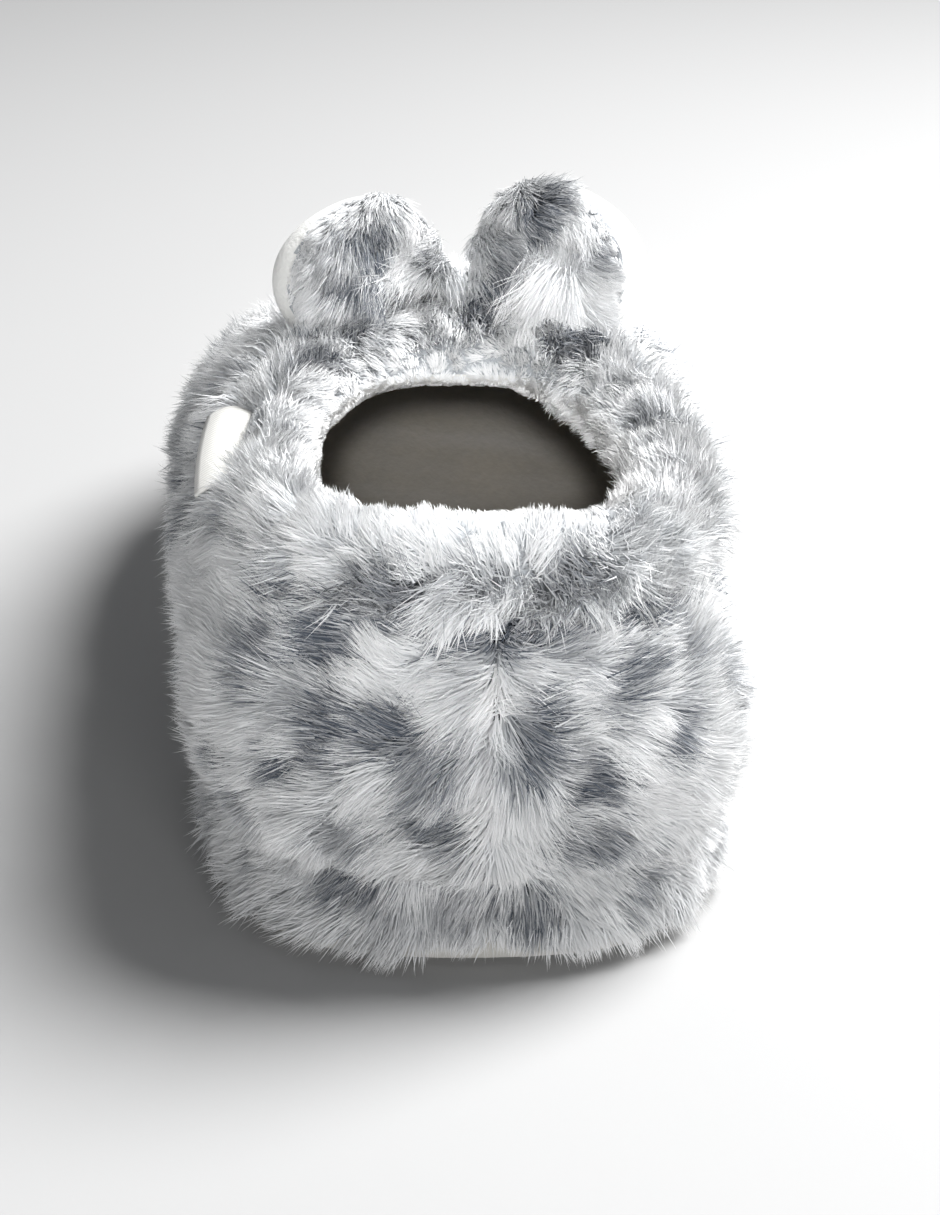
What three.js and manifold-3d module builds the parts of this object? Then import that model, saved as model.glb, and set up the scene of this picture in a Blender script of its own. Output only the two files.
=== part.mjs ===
// A left house slipper of spotted long-pile plush: closed heel, padded plush cuff, two stuffed ears in front of the
// collar, a plush-wrapped foam platform on a moulded outsole, a short-pile footbed and a bare side tab.
// Millimetres, +Z up, +Y towards the toe, +X towards the inner (medial) side of the foot.
// The origin is on the floor, under the middle of the finished slipper.
import * as THREE from 'three';
import { mergeVertices } from 'three/addons/utils/BufferGeometryUtils.js';
import Module from 'manifold-3d';

const wasm = await Module();
wasm.setup();

// Driving sizes

const soleLength = 254;
const ballWidth = 112;
const gap = 0.3; // between pieces that meet

const outsoleThickness = 8.5;
const outsoleRib = { height: 3.5, proud: 1.2 };
const toeSpring = 5;
const heelRound = 1.8; // lift at the very back of the heel
const archRise = 1.6;
const tread = { depth: 2.2, width: 3, pitch: 12, margin: 7 };

const platformHeight = 14;
const platformInset = 0.5; // backing of the wrap, inside the sole's edge
const platformCrown = 1.5;

const upperInset = 0.5; // backing of the upper at its foot, inside the sole's edge
const upperWall = 3;
const upperBulge = 4;
const vampFullness = 2.35; // exponent of the vamp's curve: 2 is an ellipse, more is boxier
const vampSlope = 0.6; // how much of a straight slope the vamp's top has, from 0 to 1

const pile = 8; // how far a lock of fur stands off its backing
const lockLean = 3; // how far its tip hangs over

// The padded ring round the collar: the middle line of its section, and how the section stands along it.
const cuff = { halfLength: 62.5, halfWidth: 39.5, centreY: 71, fullness: 2.3 };
const cuffSection = {
  back: { height: 83, halfTall: 9, halfThick: 6.5 },
  side: { height: 74, halfTall: 8, halfThick: 5.5 },
  front: { height: 81, halfTall: 14, halfThick: 6.5 },
};
const cuffLayOver = 108; // degrees that the section has turned outwards at the vamp
const cuffSeat = 1.5; // how far outside the middle of its section the upper's rim meets it

const insoleThickness = 4.5;
const insoleBevel = 1;

const ear = { halfWidth: 19.5, top: 16, root: 22, back: 8.5, front: 7, fullness: 2.2, pile: 4.5 };
const earTurn = { droop: 27, lean: 18, yaw: 14 }; // degrees
// The ears' middles, as shares of the cuff's half width, of its half length from its middle, and of its front's height.
const earPlaces = [
  { name: 'ear_left', side: -1, across: -0.57, along: 1.096, rise: 1.173 },
  { name: 'ear_right', side: 1, across: 0.646, along: 1.144, rise: 1.21 },
];

const tab = { length: 28, reach: 9.5, fall: 2, thickness: 0.8, middleY: 86 };

// Sole outline, as shares of the sole's length from its back and of half the ball width; positive is the inner side.
const soleOutline = [
  { along: 0, across: 0 },
  { along: 0.01, across: 0.36 },
  { along: 0.038, across: 0.6 },
  { along: 0.08, across: 0.74 },
  { along: 0.14, across: 0.81 },
  { along: 0.24, across: 0.83 },
  { along: 0.45, across: 0.89 },
  { along: 0.6, across: 0.955 },
  { along: 0.72, across: 0.99 },
  { along: 0.82, across: 0.955 },
  { along: 0.9, across: 0.83 },
  { along: 0.955, across: 0.64 },
  { along: 0.99, across: 0.38 },
  { along: 1.0, across: 0.12 },
  { along: 0.985, across: -0.22 },
  { along: 0.95, across: -0.48 },
  { along: 0.9, across: -0.69 },
  { along: 0.83, across: -0.86 },
  { along: 0.75, across: -0.965 },
  { along: 0.66, across: -1.01 },
  { along: 0.56, across: -0.99 },
  { along: 0.45, across: -0.97 },
  { along: 0.34, across: -0.93 },
  { along: 0.24, across: -0.9 },
  { along: 0.14, across: -0.87 },
  { along: 0.08, across: -0.79 },
  { along: 0.038, across: -0.65 },
  { along: 0.01, across: -0.39 },
];

const platformFoot = outsoleThickness + gap;
const platformTop = platformFoot + platformHeight;
const upperFoot = platformTop + gap;

// The forms that the pieces share

const soleCurve = new THREE.CatmullRomCurve3(
  soleOutline.map((row) => new THREE.Vector3((row.across * ballWidth) / 2, row.along * soleLength, 0)),
  true,
  'centripetal',
);
soleCurve.arcLengthDivisions = 600;

// A point of the sole's outline moved outwards by grow; turn runs from 0 at the heel, by the inner side, to 1.
function outlineAt(turn, grow, height = 0) {
  const share = ((turn % 1) + 1) % 1;
  const along = soleCurve.getTangentAt(share);
  return soleCurve.getPointAt(share).add(new THREE.Vector3(along.y * grow, -along.x * grow, height));
}

const signedPower = (value, power) => Math.sign(value) * Math.abs(value) ** power;

// 0 at the heel and 1 at the vamp's middle.
const vampShare = (turn) => (1 - Math.cos(turn * 2 * Math.PI)) / 2;

// The turn at which the cuff's outer side passes a place along the foot.
function outerTurn(y) {
  const along = signedPower((cuff.centreY - y) / cuff.halfLength, cuff.fullness / 2);
  return 1 - Math.acos(along) / (2 * Math.PI);
}

// The middle of the cuff's section at a turn, with its outward direction in plan and the section's own directions.
function cuffFrame(turn) {
  const angle = turn * 2 * Math.PI;
  const middle = new THREE.Vector3(
    cuff.halfWidth * signedPower(Math.sin(angle), 2 / cuff.fullness),
    cuff.centreY - cuff.halfLength * signedPower(Math.cos(angle), 2 / cuff.fullness),
    0,
  );
  const across = signedPower(middle.x / cuff.halfWidth, cuff.fullness - 1) / cuff.halfWidth;
  const along = signedPower((middle.y - cuff.centreY) / cuff.halfLength, cuff.fullness - 1) / cuff.halfLength;
  const away = new THREE.Vector3(across, along, 0).normalize();
  const end = Math.cos(angle) > 0 ? cuffSection.back : cuffSection.front;
  const measure = (name) => THREE.MathUtils.lerp(cuffSection.side[name], end[name], Math.cos(angle) ** 2);
  middle.z = measure('height');
  const layOver = THREE.MathUtils.degToRad(cuffLayOver) * vampShare(turn) ** 1.4;
  const out = away.clone().multiplyScalar(Math.cos(layOver)).setZ(Math.sin(layOver));
  const up = away.clone().multiplyScalar(-Math.sin(layOver)).setZ(Math.cos(layOver));
  return { middle, away, out, up, halfTall: measure('halfTall'), halfThick: measure('halfThick') };
}

// A point of the cuff's skin; place is 0 at its foot, 0.25 on its outer side and 0.5 on its crest.
function cuffAt(turn, place, grow = 0) {
  const { middle, out, up, halfTall, halfThick } = cuffFrame(turn);
  const angle = place * 2 * Math.PI;
  return middle
    .addScaledVector(out, (halfThick + grow) * Math.sin(angle))
    .addScaledVector(up, -(halfTall + grow) * Math.cos(angle));
}

// Where the upper's rim meets the cuff's foot, at a depth into the upper's wall.
function seatAt(turn, inside) {
  const { middle, out, up, halfTall } = cuffFrame(turn);
  return middle.addScaledVector(out, cuffSeat + upperWall / 2 - inside).addScaledVector(up, -(halfTall + gap));
}

// The upper's side from the platform to the cuff, at a depth into its wall.
const profileSteps = 28;
function upperProfile(turn, inside) {
  const foot = outlineAt(turn, -upperInset - inside, upperFoot);
  const seat = seatAt(turn, inside);
  const outward = outlineAt(turn, 1).sub(outlineAt(turn, 0));
  const slope = vampSlope * vampShare(turn) ** 2;
  return Array.from({ length: profileSteps + 1 }, (_, i) => {
    const angle = ((i / profileSteps) * Math.PI) / 2;
    const inShare = 1 - Math.cos(angle) ** (2 / vampFullness);
    const upShare = Math.sin(angle) ** (2 / vampFullness);
    const bulge = upperBulge * Math.sin(Math.PI * upShare ** 0.8) * (1 - inShare);
    const height = THREE.MathUtils.lerp(foot.z, seat.z, THREE.MathUtils.lerp(upShare, inShare, slope * upShare));
    return foot.clone().lerp(seat, inShare).setZ(height).addScaledVector(outward, bulge);
  });
}

// Lengths along a line of points, from its start to each of them.
function lengthsAlong(points) {
  const lengths = [0];
  for (let i = 1; i < points.length; i++) lengths.push(lengths[i - 1] + points[i].distanceTo(points[i - 1]));
  return lengths;
}

// A point of the upper at a share of the way from its foot to its rim, at a depth into its wall.
function upperAt(turn, share, inside = 0) {
  const points = upperProfile(turn, inside);
  const lengths = lengthsAlong(points);
  const wanted = share * lengths[profileSteps];
  let i = 1;
  while (i < profileSteps && lengths[i] < wanted) i++;
  return points[i - 1].clone().lerp(points[i], (wanted - lengths[i - 1]) / (lengths[i] - lengths[i - 1]));
}

const upperReach = (turn) => lengthsAlong(upperProfile(turn, 0))[profileSteps];

// Places an ear; its own frame has X across, Z up and its furry back towards -Y.
function earMatrix({ side, across, along, rise }) {
  const matrix = new THREE.Matrix4().makeRotationZ(THREE.MathUtils.degToRad(-side * earTurn.yaw));
  matrix.multiply(new THREE.Matrix4().makeRotationY(THREE.MathUtils.degToRad(side * earTurn.droop)));
  matrix.multiply(new THREE.Matrix4().makeRotationX(THREE.MathUtils.degToRad(-earTurn.lean)));
  return matrix.setPosition(
    across * cuff.halfWidth,
    cuff.centreY + along * cuff.halfLength,
    rise * cuffSection.front.height,
  );
}

// Whether a point lies under an ear, where the plush is held down.
const earMargin = { side: 3, back: 2, front: 8 };
function underEar(point) {
  return earPlaces.some((place) => {
    const local = point.clone().applyMatrix4(earMatrix(place).invert());
    const across = Math.abs(local.x) < ear.halfWidth + earMargin.side;
    const through = local.y > -ear.back - earMargin.back && local.y < ear.front + earMargin.front;
    return across && through && local.z < 0;
  });
}

// Whether a point lies under the tab, where the plush is held down too.
const tabMargin = { along: 5, below: 20 };
function underTab(point) {
  const alongTab = Math.abs(point.y - tab.middleY) < tab.length / 2 + tabMargin.along;
  return alongTab && point.x < 0 && point.z > cuffSection.side.height - tabMargin.below;
}

const heldPile = 2; // pile under an ear or the tab
const lockSpread = 0.15; // how much one lock's size differs from the mean
const seamPull = 14; // how far from a seam the plush is pulled in
const seamPile = 0.4; // the share of the pile that stands right beside a seam
const pileAt = (point) => (underEar(point) ? heldPile : pile);
const besideSeam = (distance) => THREE.MathUtils.clamp(distance / seamPull, seamPile, 1);

// Skins and solids

class Skin {
  points = [];
  faces = [];

  vertex(point) {
    this.points.push(point);
    return this.points.length - 1;
  }

  ring(points) {
    return points.map((point) => this.vertex(point));
  }

  // Joins two rings of as many points; the faces point out when upper follows lower up the outside.
  band(lower, upper) {
    lower.forEach((a, i) => {
      const next = (i + 1) % lower.length;
      this.faces.push(a, lower[next], upper[next], a, upper[next], upper[i]);
    });
  }

  // Closes a flat ring with triangles between its own points.
  cap(ring, facingUp) {
    const flat = ring.map((index) => new THREE.Vector2(this.points[index].x, this.points[index].y));
    for (const [a, b, c] of THREE.ShapeUtils.triangulateShape(flat, [])) {
      if (facingUp) this.faces.push(ring[a], ring[b], ring[c]);
      else this.faces.push(ring[a], ring[c], ring[b]);
    }
  }

  // Closes a ring with triangles to one point.
  fan(ring, point) {
    const tip = this.vertex(point);
    ring.forEach((a, i) => this.faces.push(a, ring[(i + 1) % ring.length], tip));
  }

  geometry() {
    const geometry = new THREE.BufferGeometry();
    geometry.setAttribute('position', new THREE.Float32BufferAttribute(this.points.flatMap((p) => p.toArray()), 3));
    geometry.setIndex(this.faces);
    return geometry;
  }
}

const around = (count, at) => Array.from({ length: count }, (_, i) => at(i / count));

// A repeatable number from 0 to 1 for each lock.
function chance(column, row) {
  const value = Math.sin(column * 12.9898 + row * 78.233) * 43758.5453;
  return value - Math.floor(value);
}

// One lock on a diamond of backing: it rises to its tip, by way of a waist where it curls over.
const waist = { height: 0.62, narrowing: 0.35, lean: 0.25 };
function drawLock(skin, corners, root, rise, droop, curls) {
  let ring = corners;
  if (curls) {
    const narrowed = (i) => skin.points[i].clone().lerp(root, waist.narrowing);
    ring = skin.ring(
      corners.map((i) => narrowed(i).addScaledVector(rise, waist.height).addScaledVector(droop, waist.lean)),
    );
    skin.band(corners, ring);
  }
  skin.fan(ring, root.clone().add(rise).add(droop));
}

// A field of fur on a backing that runs round: diamonds in staggered rows, each drawn up into one lock.
// at(turn, share) is the backing and lockAt(turn, share) a lock's height and lean. rows is even.
// The field's first and last rings of points are given back.
function furField(skin, at, lockAt, columns, rows, curls) {
  const index = new Map();
  const turnOf = (column) => column / (2 * columns);
  for (let row = 0; row <= rows; row++)
    for (let column = row % 2; column < 2 * columns; column += 2)
      index.set(column + ',' + row, skin.vertex(at(turnOf(column), row / rows)));
  const corner = (column, row) => index.get(((column + 2 * columns) % (2 * columns)) + ',' + row);
  for (let row = 0; row <= rows; row++) {
    for (let column = (row + 1) % 2; column < 2 * columns; column += 2) {
      const west = corner(column - 1, row);
      const east = corner(column + 1, row);
      const south = corner(column, row - 1);
      const north = corner(column, row + 1);
      if (row === 0) skin.faces.push(west, east, north);
      else if (row === rows) skin.faces.push(east, west, south);
      else {
        const [s, e, n, w] = [south, east, north, west].map((i) => skin.points[i]);
        const lock = lockAt(turnOf(column), row / rows);
        const size = 1 + lockSpread * (2 * chance(column, row) - 1);
        const rise = e.clone().sub(w).cross(n.clone().sub(s)).setLength(lock.height * size);
        const droop = s.clone().sub(n).setLength(lock.lean * size);
        drawLock(skin, [south, east, north, west], at(turnOf(column), row / rows), rise, droop, curls);
      }
    }
  }
  const edge = (row) => Array.from({ length: columns }, (_, i) => corner(2 * i, row));
  return { first: edge(0), last: edge(rows) };
}

// A lock's measures where the pile stands a share of its full height.
const lockOf = (height, lean = 1) => ({ height, lean: (lockLean * lean * height) / pile });

function toManifold(geometry) {
  const bare = geometry.clone();
  bare.deleteAttribute('normal');
  bare.deleteAttribute('uv');
  const merged = mergeVertices(bare, 1e-4);
  const mesh = new wasm.Mesh({
    numProp: 3,
    vertProperties: new Float32Array(merged.attributes.position.array),
    triVerts: new Uint32Array(merged.index.array),
  });
  return new wasm.Manifold(mesh);
}

function fromManifold(solid) {
  const mesh = solid.getMesh();
  const geometry = new THREE.BufferGeometry();
  geometry.setAttribute('position', new THREE.BufferAttribute(new Float32Array(mesh.vertProperties), 3));
  geometry.setIndex(new THREE.BufferAttribute(new Uint32Array(mesh.triVerts), 1));
  return geometry;
}

// Outsole: the outline cut by the side profile, with a rib round its top edge and grooves across its pads.
const outlinePoints = 72;
function outsoleGeometry() {
  const layer = (grow, bottom, height) => {
    const outline = around(outlinePoints, (turn) => outlineAt(turn, grow)).map((p) => new THREE.Vector2(p.x, p.y));
    const slab = new THREE.ExtrudeGeometry(new THREE.Shape(outline), { depth: height, bevelEnabled: false });
    return toManifold(slab.translate(0, 0, bottom));
  };
  const ribFoot = outsoleThickness - outsoleRib.height;
  const slab = layer(0, 0, outsoleThickness).add(layer(outsoleRib.proud, ribFoot, outsoleRib.height));

  const heelPad = { from: 0.05 * soleLength, to: 0.24 * soleLength };
  const forePad = { from: 0.5 * soleLength, to: 0.76 * soleLength };
  const spare = 10; // how far the cutting shapes pass the sole
  const side = new THREE.Shape();
  side.moveTo(-spare, heelRound);
  side.lineTo(0, heelRound);
  side.quadraticCurveTo(heelPad.from / 2, 0, heelPad.from, 0);
  side.lineTo(heelPad.to, 0);
  side.quadraticCurveTo((heelPad.to + forePad.from) / 2, 2 * archRise, forePad.from, 0);
  side.lineTo(forePad.to, 0);
  side.quadraticCurveTo((forePad.to + soleLength) / 2, 0, soleLength, toeSpring);
  side.lineTo(soleLength + spare, toeSpring);
  side.lineTo(soleLength + spare, outsoleThickness + spare);
  side.lineTo(-spare, outsoleThickness + spare);
  const profile = new THREE.ExtrudeGeometry(side, { depth: 2 * ballWidth, bevelEnabled: false, curveSegments: 8 });
  profile.rotateY(Math.PI / 2).rotateX(Math.PI / 2).translate(-ballWidth, 0, 0);

  let solid = slab.intersect(toManifold(profile));
  for (const pad of [heelPad, forePad]) {
    const room = pad.to - pad.from - 2 * tread.margin;
    const count = Math.floor(room / tread.pitch);
    for (let i = 0; i <= count; i++) {
      const groove = new THREE.BoxGeometry(2 * ballWidth, tread.width, 2 * tread.depth);
      groove.translate(0, (pad.from + pad.to) / 2 + (i - count / 2) * tread.pitch, 0);
      solid = solid.subtract(toManifold(groove));
    }
  }
  return fromManifold(solid);
}

// Platform: the foam wedge in its plush wrap, flat above and below, with locks round its side.
function platformGeometry() {
  const skin = new Skin();
  const at = (turn, share) =>
    outlineAt(turn, platformCrown * Math.sin(Math.PI * share) - platformInset, platformFoot + platformHeight * share);
  const lockAt = (turn, share) => lockOf(pile * besideSeam((1 - share) * platformHeight));
  const edges = furField(skin, at, lockAt, 54, 4, true);
  skin.cap(edges.first, false);
  skin.cap(edges.last, true);
  return skin.geometry();
}

// Upper: a shell from the platform to the cuff, furry outside, smooth inside, open above and below.
const upperColumns = 56; // the insole has as many, so that their flats lie along each other
function upperGeometry() {
  const innerRows = 7;
  const skin = new Skin();
  const lockAt = (turn, share) => {
    const point = upperAt(turn, share);
    const height = underTab(point) ? heldPile : pileAt(point);
    return lockOf(height * besideSeam(Math.min(share, 1 - share) * upperReach(turn)));
  };
  const edges = furField(skin, (turn, share) => upperAt(turn, share), lockAt, upperColumns, 10, false);
  const rings = [edges.last];
  for (let row = innerRows; row >= 0; row--)
    rings.push(skin.ring(around(upperColumns, (turn) => upperAt(turn, row / innerRows, upperWall))));
  rings.push(edges.first);
  for (let i = 1; i < rings.length; i++) skin.band(rings[i - 1], rings[i]);
  return skin.geometry();
}

// Cuff: furry from its foot over its outer side to just past its crest, smooth lining on its inner side.
const cuffFur = { from: 0.08, to: 0.55 };
const cuffFurReach = 23; // length of the furry stretch round its section
function cuffGeometry() {
  const columns = 46;
  const liningRows = 5;
  const skin = new Skin();
  const at = (turn, share) => cuffAt(turn, THREE.MathUtils.lerp(cuffFur.from, cuffFur.to, share));
  const lockAt = (turn, share) => lockOf(pileAt(at(turn, share)) * besideSeam(share * cuffFurReach), 1 - 2 * share);
  const edges = furField(skin, at, lockAt, columns, 4, true);
  const rings = [edges.last];
  for (let row = 1; row < liningRows; row++) {
    const place = THREE.MathUtils.lerp(cuffFur.to, 1 + cuffFur.from, row / liningRows);
    rings.push(skin.ring(around(columns, (turn) => cuffAt(turn, place))));
  }
  rings.push(edges.first);
  for (let i = 1; i < rings.length; i++) skin.band(rings[i - 1], rings[i]);
  return skin.geometry();
}

// Insole: fills the upper's foot, with a bevelled top edge.
function insoleGeometry() {
  const edge = -upperInset - upperWall - gap;
  const foot = platformTop + gap;
  const skin = new Skin();
  const ring = (grow, height) => skin.ring(around(upperColumns, (turn) => outlineAt(turn, grow, height)));
  const bottom = ring(edge, foot);
  const shoulder = ring(edge, foot + insoleThickness - insoleBevel);
  const top = ring(edge - insoleBevel, foot + insoleThickness);
  skin.cap(bottom, false);
  skin.band(bottom, shoulder);
  skin.band(shoulder, top);
  skin.cap(top, true);
  return skin.geometry();
}

// One side of an ear: a dome over its rounded outline, of a given depth, from its rim at 0 to its middle at 1.
function earDome(turn, share, depth) {
  const angle = turn * 2 * Math.PI;
  const rise = (share * Math.PI) / 2;
  const height = signedPower(Math.cos(angle), 2 / ear.fullness);
  return new THREE.Vector3(
    ear.halfWidth * signedPower(Math.sin(angle), 2 / ear.fullness) * Math.cos(rise),
    depth * Math.sin(rise),
    height * (height > 0 ? ear.top : ear.root) * Math.cos(rise),
  );
}

const seatGap = 0.8; // over the tips of the held-down pile

// The room that the cuff, the upper and their pile take under the ears.
function earSeat() {
  const columns = 60;
  const clear = (at) => pileAt(at) * (1 + lockSpread) + seatGap;
  const ringSkin = new Skin();
  const sections = around(12, (place) =>
    ringSkin.ring(around(columns, (turn) => cuffAt(turn, place, clear(cuffAt(turn, place))))),
  );
  sections.forEach((section, i) => ringSkin.band(section, sections[(i + 1) % sections.length]));

  const bodySkin = new Skin();
  const levels = around(12, (share) =>
    bodySkin.ring(around(columns, (turn) => upperAt(turn, share, -clear(upperAt(turn, share))))),
  );
  levels.push(bodySkin.ring(around(columns, (turn) => seatAt(turn, -clear(seatAt(turn, 0))))));
  for (let i = 1; i < levels.length; i++) bodySkin.band(levels[i - 1], levels[i]);
  bodySkin.fan([...levels[0]].reverse(), new THREE.Vector3(0, soleLength / 2, upperFoot));
  bodySkin.fan(levels[levels.length - 1], new THREE.Vector3(0, cuff.centreY, cuffSection.side.height));
  return toManifold(ringSkin.geometry()).add(toManifold(bodySkin.geometry()));
}

// Ear: a furry domed back and a smooth domed front, sewn round their edge and seated on the collar seam.
function earGeometry(place, seat) {
  const columns = 18;
  const frontRows = 4;
  const backReach = 0.8; // the fur's last ring; a small fan closes the middle
  const skin = new Skin();
  const lockAt = (turn) => lockOf(ear.pile * Math.min(1, 1 + Math.cos(turn * 2 * Math.PI)));
  const edges = furField(skin, (turn, share) => earDome(-turn, backReach * share, -ear.back), lockAt, columns, 4, true);
  skin.fan(edges.last, new THREE.Vector3(0, -ear.back, 0));
  let ring = edges.first.map((_, i, rim) => rim[(rim.length - i) % rim.length]);
  for (let row = 1; row < frontRows; row++) {
    const next = skin.ring(around(columns, (turn) => earDome(turn, row / frontRows, ear.front)));
    skin.band(ring, next);
    ring = next;
  }
  skin.fan(ring, new THREE.Vector3(0, ear.front, 0));
  return fromManifold(toManifold(skin.geometry().applyMatrix4(earMatrix(place))).subtract(seat));
}

// Side tab: a folded satin strip sewn into the collar seam on the outer side, lying out over the fur.
function tabGeometry() {
  const steps = 6;
  const skin = new Skin();
  const section = (i) => {
    const turn = outerTurn(tab.middleY - (i / steps - 0.5) * tab.length);
    const { away } = cuffFrame(turn);
    const spread = (point) => point.addScaledVector(away, tab.reach).add(new THREE.Vector3(0, 0, -tab.fall));
    return skin.ring([
      upperAt(turn, 1, -gap),
      spread(upperAt(turn, 1, -gap)),
      spread(upperAt(turn, 1, -gap - tab.thickness)),
      upperAt(turn, 1, -gap - tab.thickness),
    ]);
  };
  const sections = Array.from({ length: steps + 1 }, (_, i) => section(i));
  for (let i = 1; i < sections.length; i++) skin.band(sections[i], sections[i - 1]);
  const [first, last] = [sections[0], sections[steps]];
  skin.faces.push(first[0], first[1], first[2], first[0], first[2], first[3]);
  skin.faces.push(last[0], last[2], last[1], last[0], last[3], last[2]);
  return skin.geometry();
}

// The assembly

const slipper = new THREE.Group();
function addPiece(name, geometry, color, roughness) {
  geometry.computeVertexNormals();
  const mesh = new THREE.Mesh(geometry, new THREE.MeshStandardMaterial({ color, roughness, metalness: 0 }));
  mesh.name = name;
  slipper.add(mesh);
}

const seat = earSeat();
addPiece('outsole', outsoleGeometry(), 0xe4e3df, 0.6);
addPiece('platform', platformGeometry(), 0xd9dadc, 1);
addPiece('upper', upperGeometry(), 0xcfd1d4, 1);
addPiece('collar_cuff', cuffGeometry(), 0xdfe0e2, 1);
addPiece('insole', insoleGeometry(), 0x5a5650, 1);
for (const place of earPlaces) addPiece(place.name, earGeometry(place, seat), 0xe8e7e3, 1);
addPiece('side_tab', tabGeometry(), 0xf2f2f0, 0.5);

const bounds = new THREE.Box3().setFromObject(slipper);
slipper.position.set(-(bounds.min.x + bounds.max.x) / 2, -(bounds.min.y + bounds.max.y) / 2, -bounds.min.z);

export default slipper;
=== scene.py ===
"""Looks of a left house slipper: spotted long-pile plush, a padded cuff, two stuffed ears and a brushed footbed.

Lengths are in millimetres of the slipper's own sole frame until a mesh is made, and then in metres of the row frame.
"""

import math

import bmesh
import bpy
import numpy as np
from mathutils import Matrix, Vector
from mathutils.kdtree import KDTree


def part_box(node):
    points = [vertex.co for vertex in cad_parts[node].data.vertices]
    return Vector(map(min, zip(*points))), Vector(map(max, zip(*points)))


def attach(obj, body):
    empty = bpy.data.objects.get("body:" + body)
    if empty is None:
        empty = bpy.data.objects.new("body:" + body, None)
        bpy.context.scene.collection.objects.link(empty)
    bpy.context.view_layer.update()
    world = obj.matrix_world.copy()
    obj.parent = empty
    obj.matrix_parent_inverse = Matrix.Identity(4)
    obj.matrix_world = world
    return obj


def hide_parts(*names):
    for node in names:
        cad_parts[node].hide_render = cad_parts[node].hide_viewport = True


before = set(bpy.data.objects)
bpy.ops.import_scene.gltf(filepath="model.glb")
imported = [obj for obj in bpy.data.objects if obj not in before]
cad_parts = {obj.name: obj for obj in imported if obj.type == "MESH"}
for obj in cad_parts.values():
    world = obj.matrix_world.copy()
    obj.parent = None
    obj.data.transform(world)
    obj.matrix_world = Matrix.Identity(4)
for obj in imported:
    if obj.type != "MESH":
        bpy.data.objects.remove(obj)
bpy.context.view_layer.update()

bl_info = {
    "name": "House slipper",
    "version": (1, 0, 0),
    "blender": (4, 5, 0),
    "location": "3D View > Sidebar > Slipper",
    "description": "Dresses the packed slipper in spotted plush, lining, footbed, rubber and satin",
    "category": "Object",
}

MM = 0.001

# The slipper's last and its pieces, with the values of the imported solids.
SOLE_LENGTH = 254.0
BALL_WIDTH = 112.0
RIB_PROUD = 1.2
PLATFORM_FOOT = 8.8
PLATFORM_HEIGHT = 14.0
PLATFORM_TOP = PLATFORM_FOOT + PLATFORM_HEIGHT
PLATFORM_INSET = 0.5
PLATFORM_CROWN = 1.5
UPPER_FOOT = 23.1
UPPER_INSET = 0.5
UPPER_WALL = 3.0
UPPER_BULGE = 4.0
VAMP_FULLNESS = 2.35
VAMP_SLOPE = 0.6
GAP = 0.3
CUFF_LENGTH, CUFF_WIDTH, CUFF_MIDDLE, CUFF_FULLNESS = 62.5, 39.5, 71.0, 2.3
# Height of the cuff's middle line, half its height and half its thickness, at the heel, the sides and the vamp.
CUFF_BACK = (83.0, 9.0, 6.5)
CUFF_SIDE = (74.0, 8.0, 5.5)
CUFF_FRONT = (81.0, 14.0, 6.5)
CUFF_LAY_OVER = math.radians(108)
CUFF_SEAT = 1.5
INSOLE_HEIGHT = 4.5
INSOLE_BEVEL = 1.0
EAR_WIDTH, EAR_TOP, EAR_ROOT, EAR_BACK, EAR_FRONT, EAR_FULLNESS = 19.5, 16.0, 22.0, 8.5, 7.0, 2.2
EAR_DROOP, EAR_LEAN, EAR_YAW = math.radians(27), math.radians(18), math.radians(14)
EARS = {
    "ear_left": (-1, (-0.57 * CUFF_WIDTH, CUFF_MIDDLE + 1.096 * CUFF_LENGTH, 1.173 * CUFF_FRONT[0])),
    "ear_right": (1, (0.646 * CUFF_WIDTH, CUFF_MIDDLE + 1.144 * CUFF_LENGTH, 1.21 * CUFF_FRONT[0])),
}
TAB_LENGTH, TAB_REACH, TAB_MIDDLE, TAB_FALL = 28.0, 9.5, 86.0, 2.0

# Sole outline, as shares of the sole's length from its back and of half the ball width; positive is the inner side.
OUTLINE = np.array([
    (0, 0), (0.01, 0.36), (0.038, 0.6), (0.08, 0.74), (0.14, 0.81), (0.24, 0.83), (0.45, 0.89),
    (0.6, 0.955), (0.72, 0.99), (0.82, 0.955), (0.9, 0.83), (0.955, 0.64), (0.99, 0.38), (1, 0.12),
    (0.985, -0.22), (0.95, -0.48), (0.9, -0.69), (0.83, -0.86), (0.75, -0.965), (0.66, -1.01),
    (0.56, -0.99), (0.45, -0.97), (0.34, -0.93), (0.24, -0.9), (0.14, -0.87), (0.08, -0.79),
    (0.038, -0.65), (0.01, -0.39),
])

# The camera that took the photograph, for a frame of 940 by 1215 pixels.
FRAME_WIDTH, FRAME_HEIGHT = 940.0, 1215.0
FOCAL_PIXELS = 2519.3
CAMERA_TARGET = (0.486, -43.35, 50.0)
CAMERA_DISTANCE = 545.5
CAMERA_AZIMUTH, CAMERA_ELEVATION, CAMERA_ROLL = math.radians(-4.6), math.radians(25), math.radians(1.9)
FRAME_OFFSET = (-5.7, -51.1)

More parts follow.
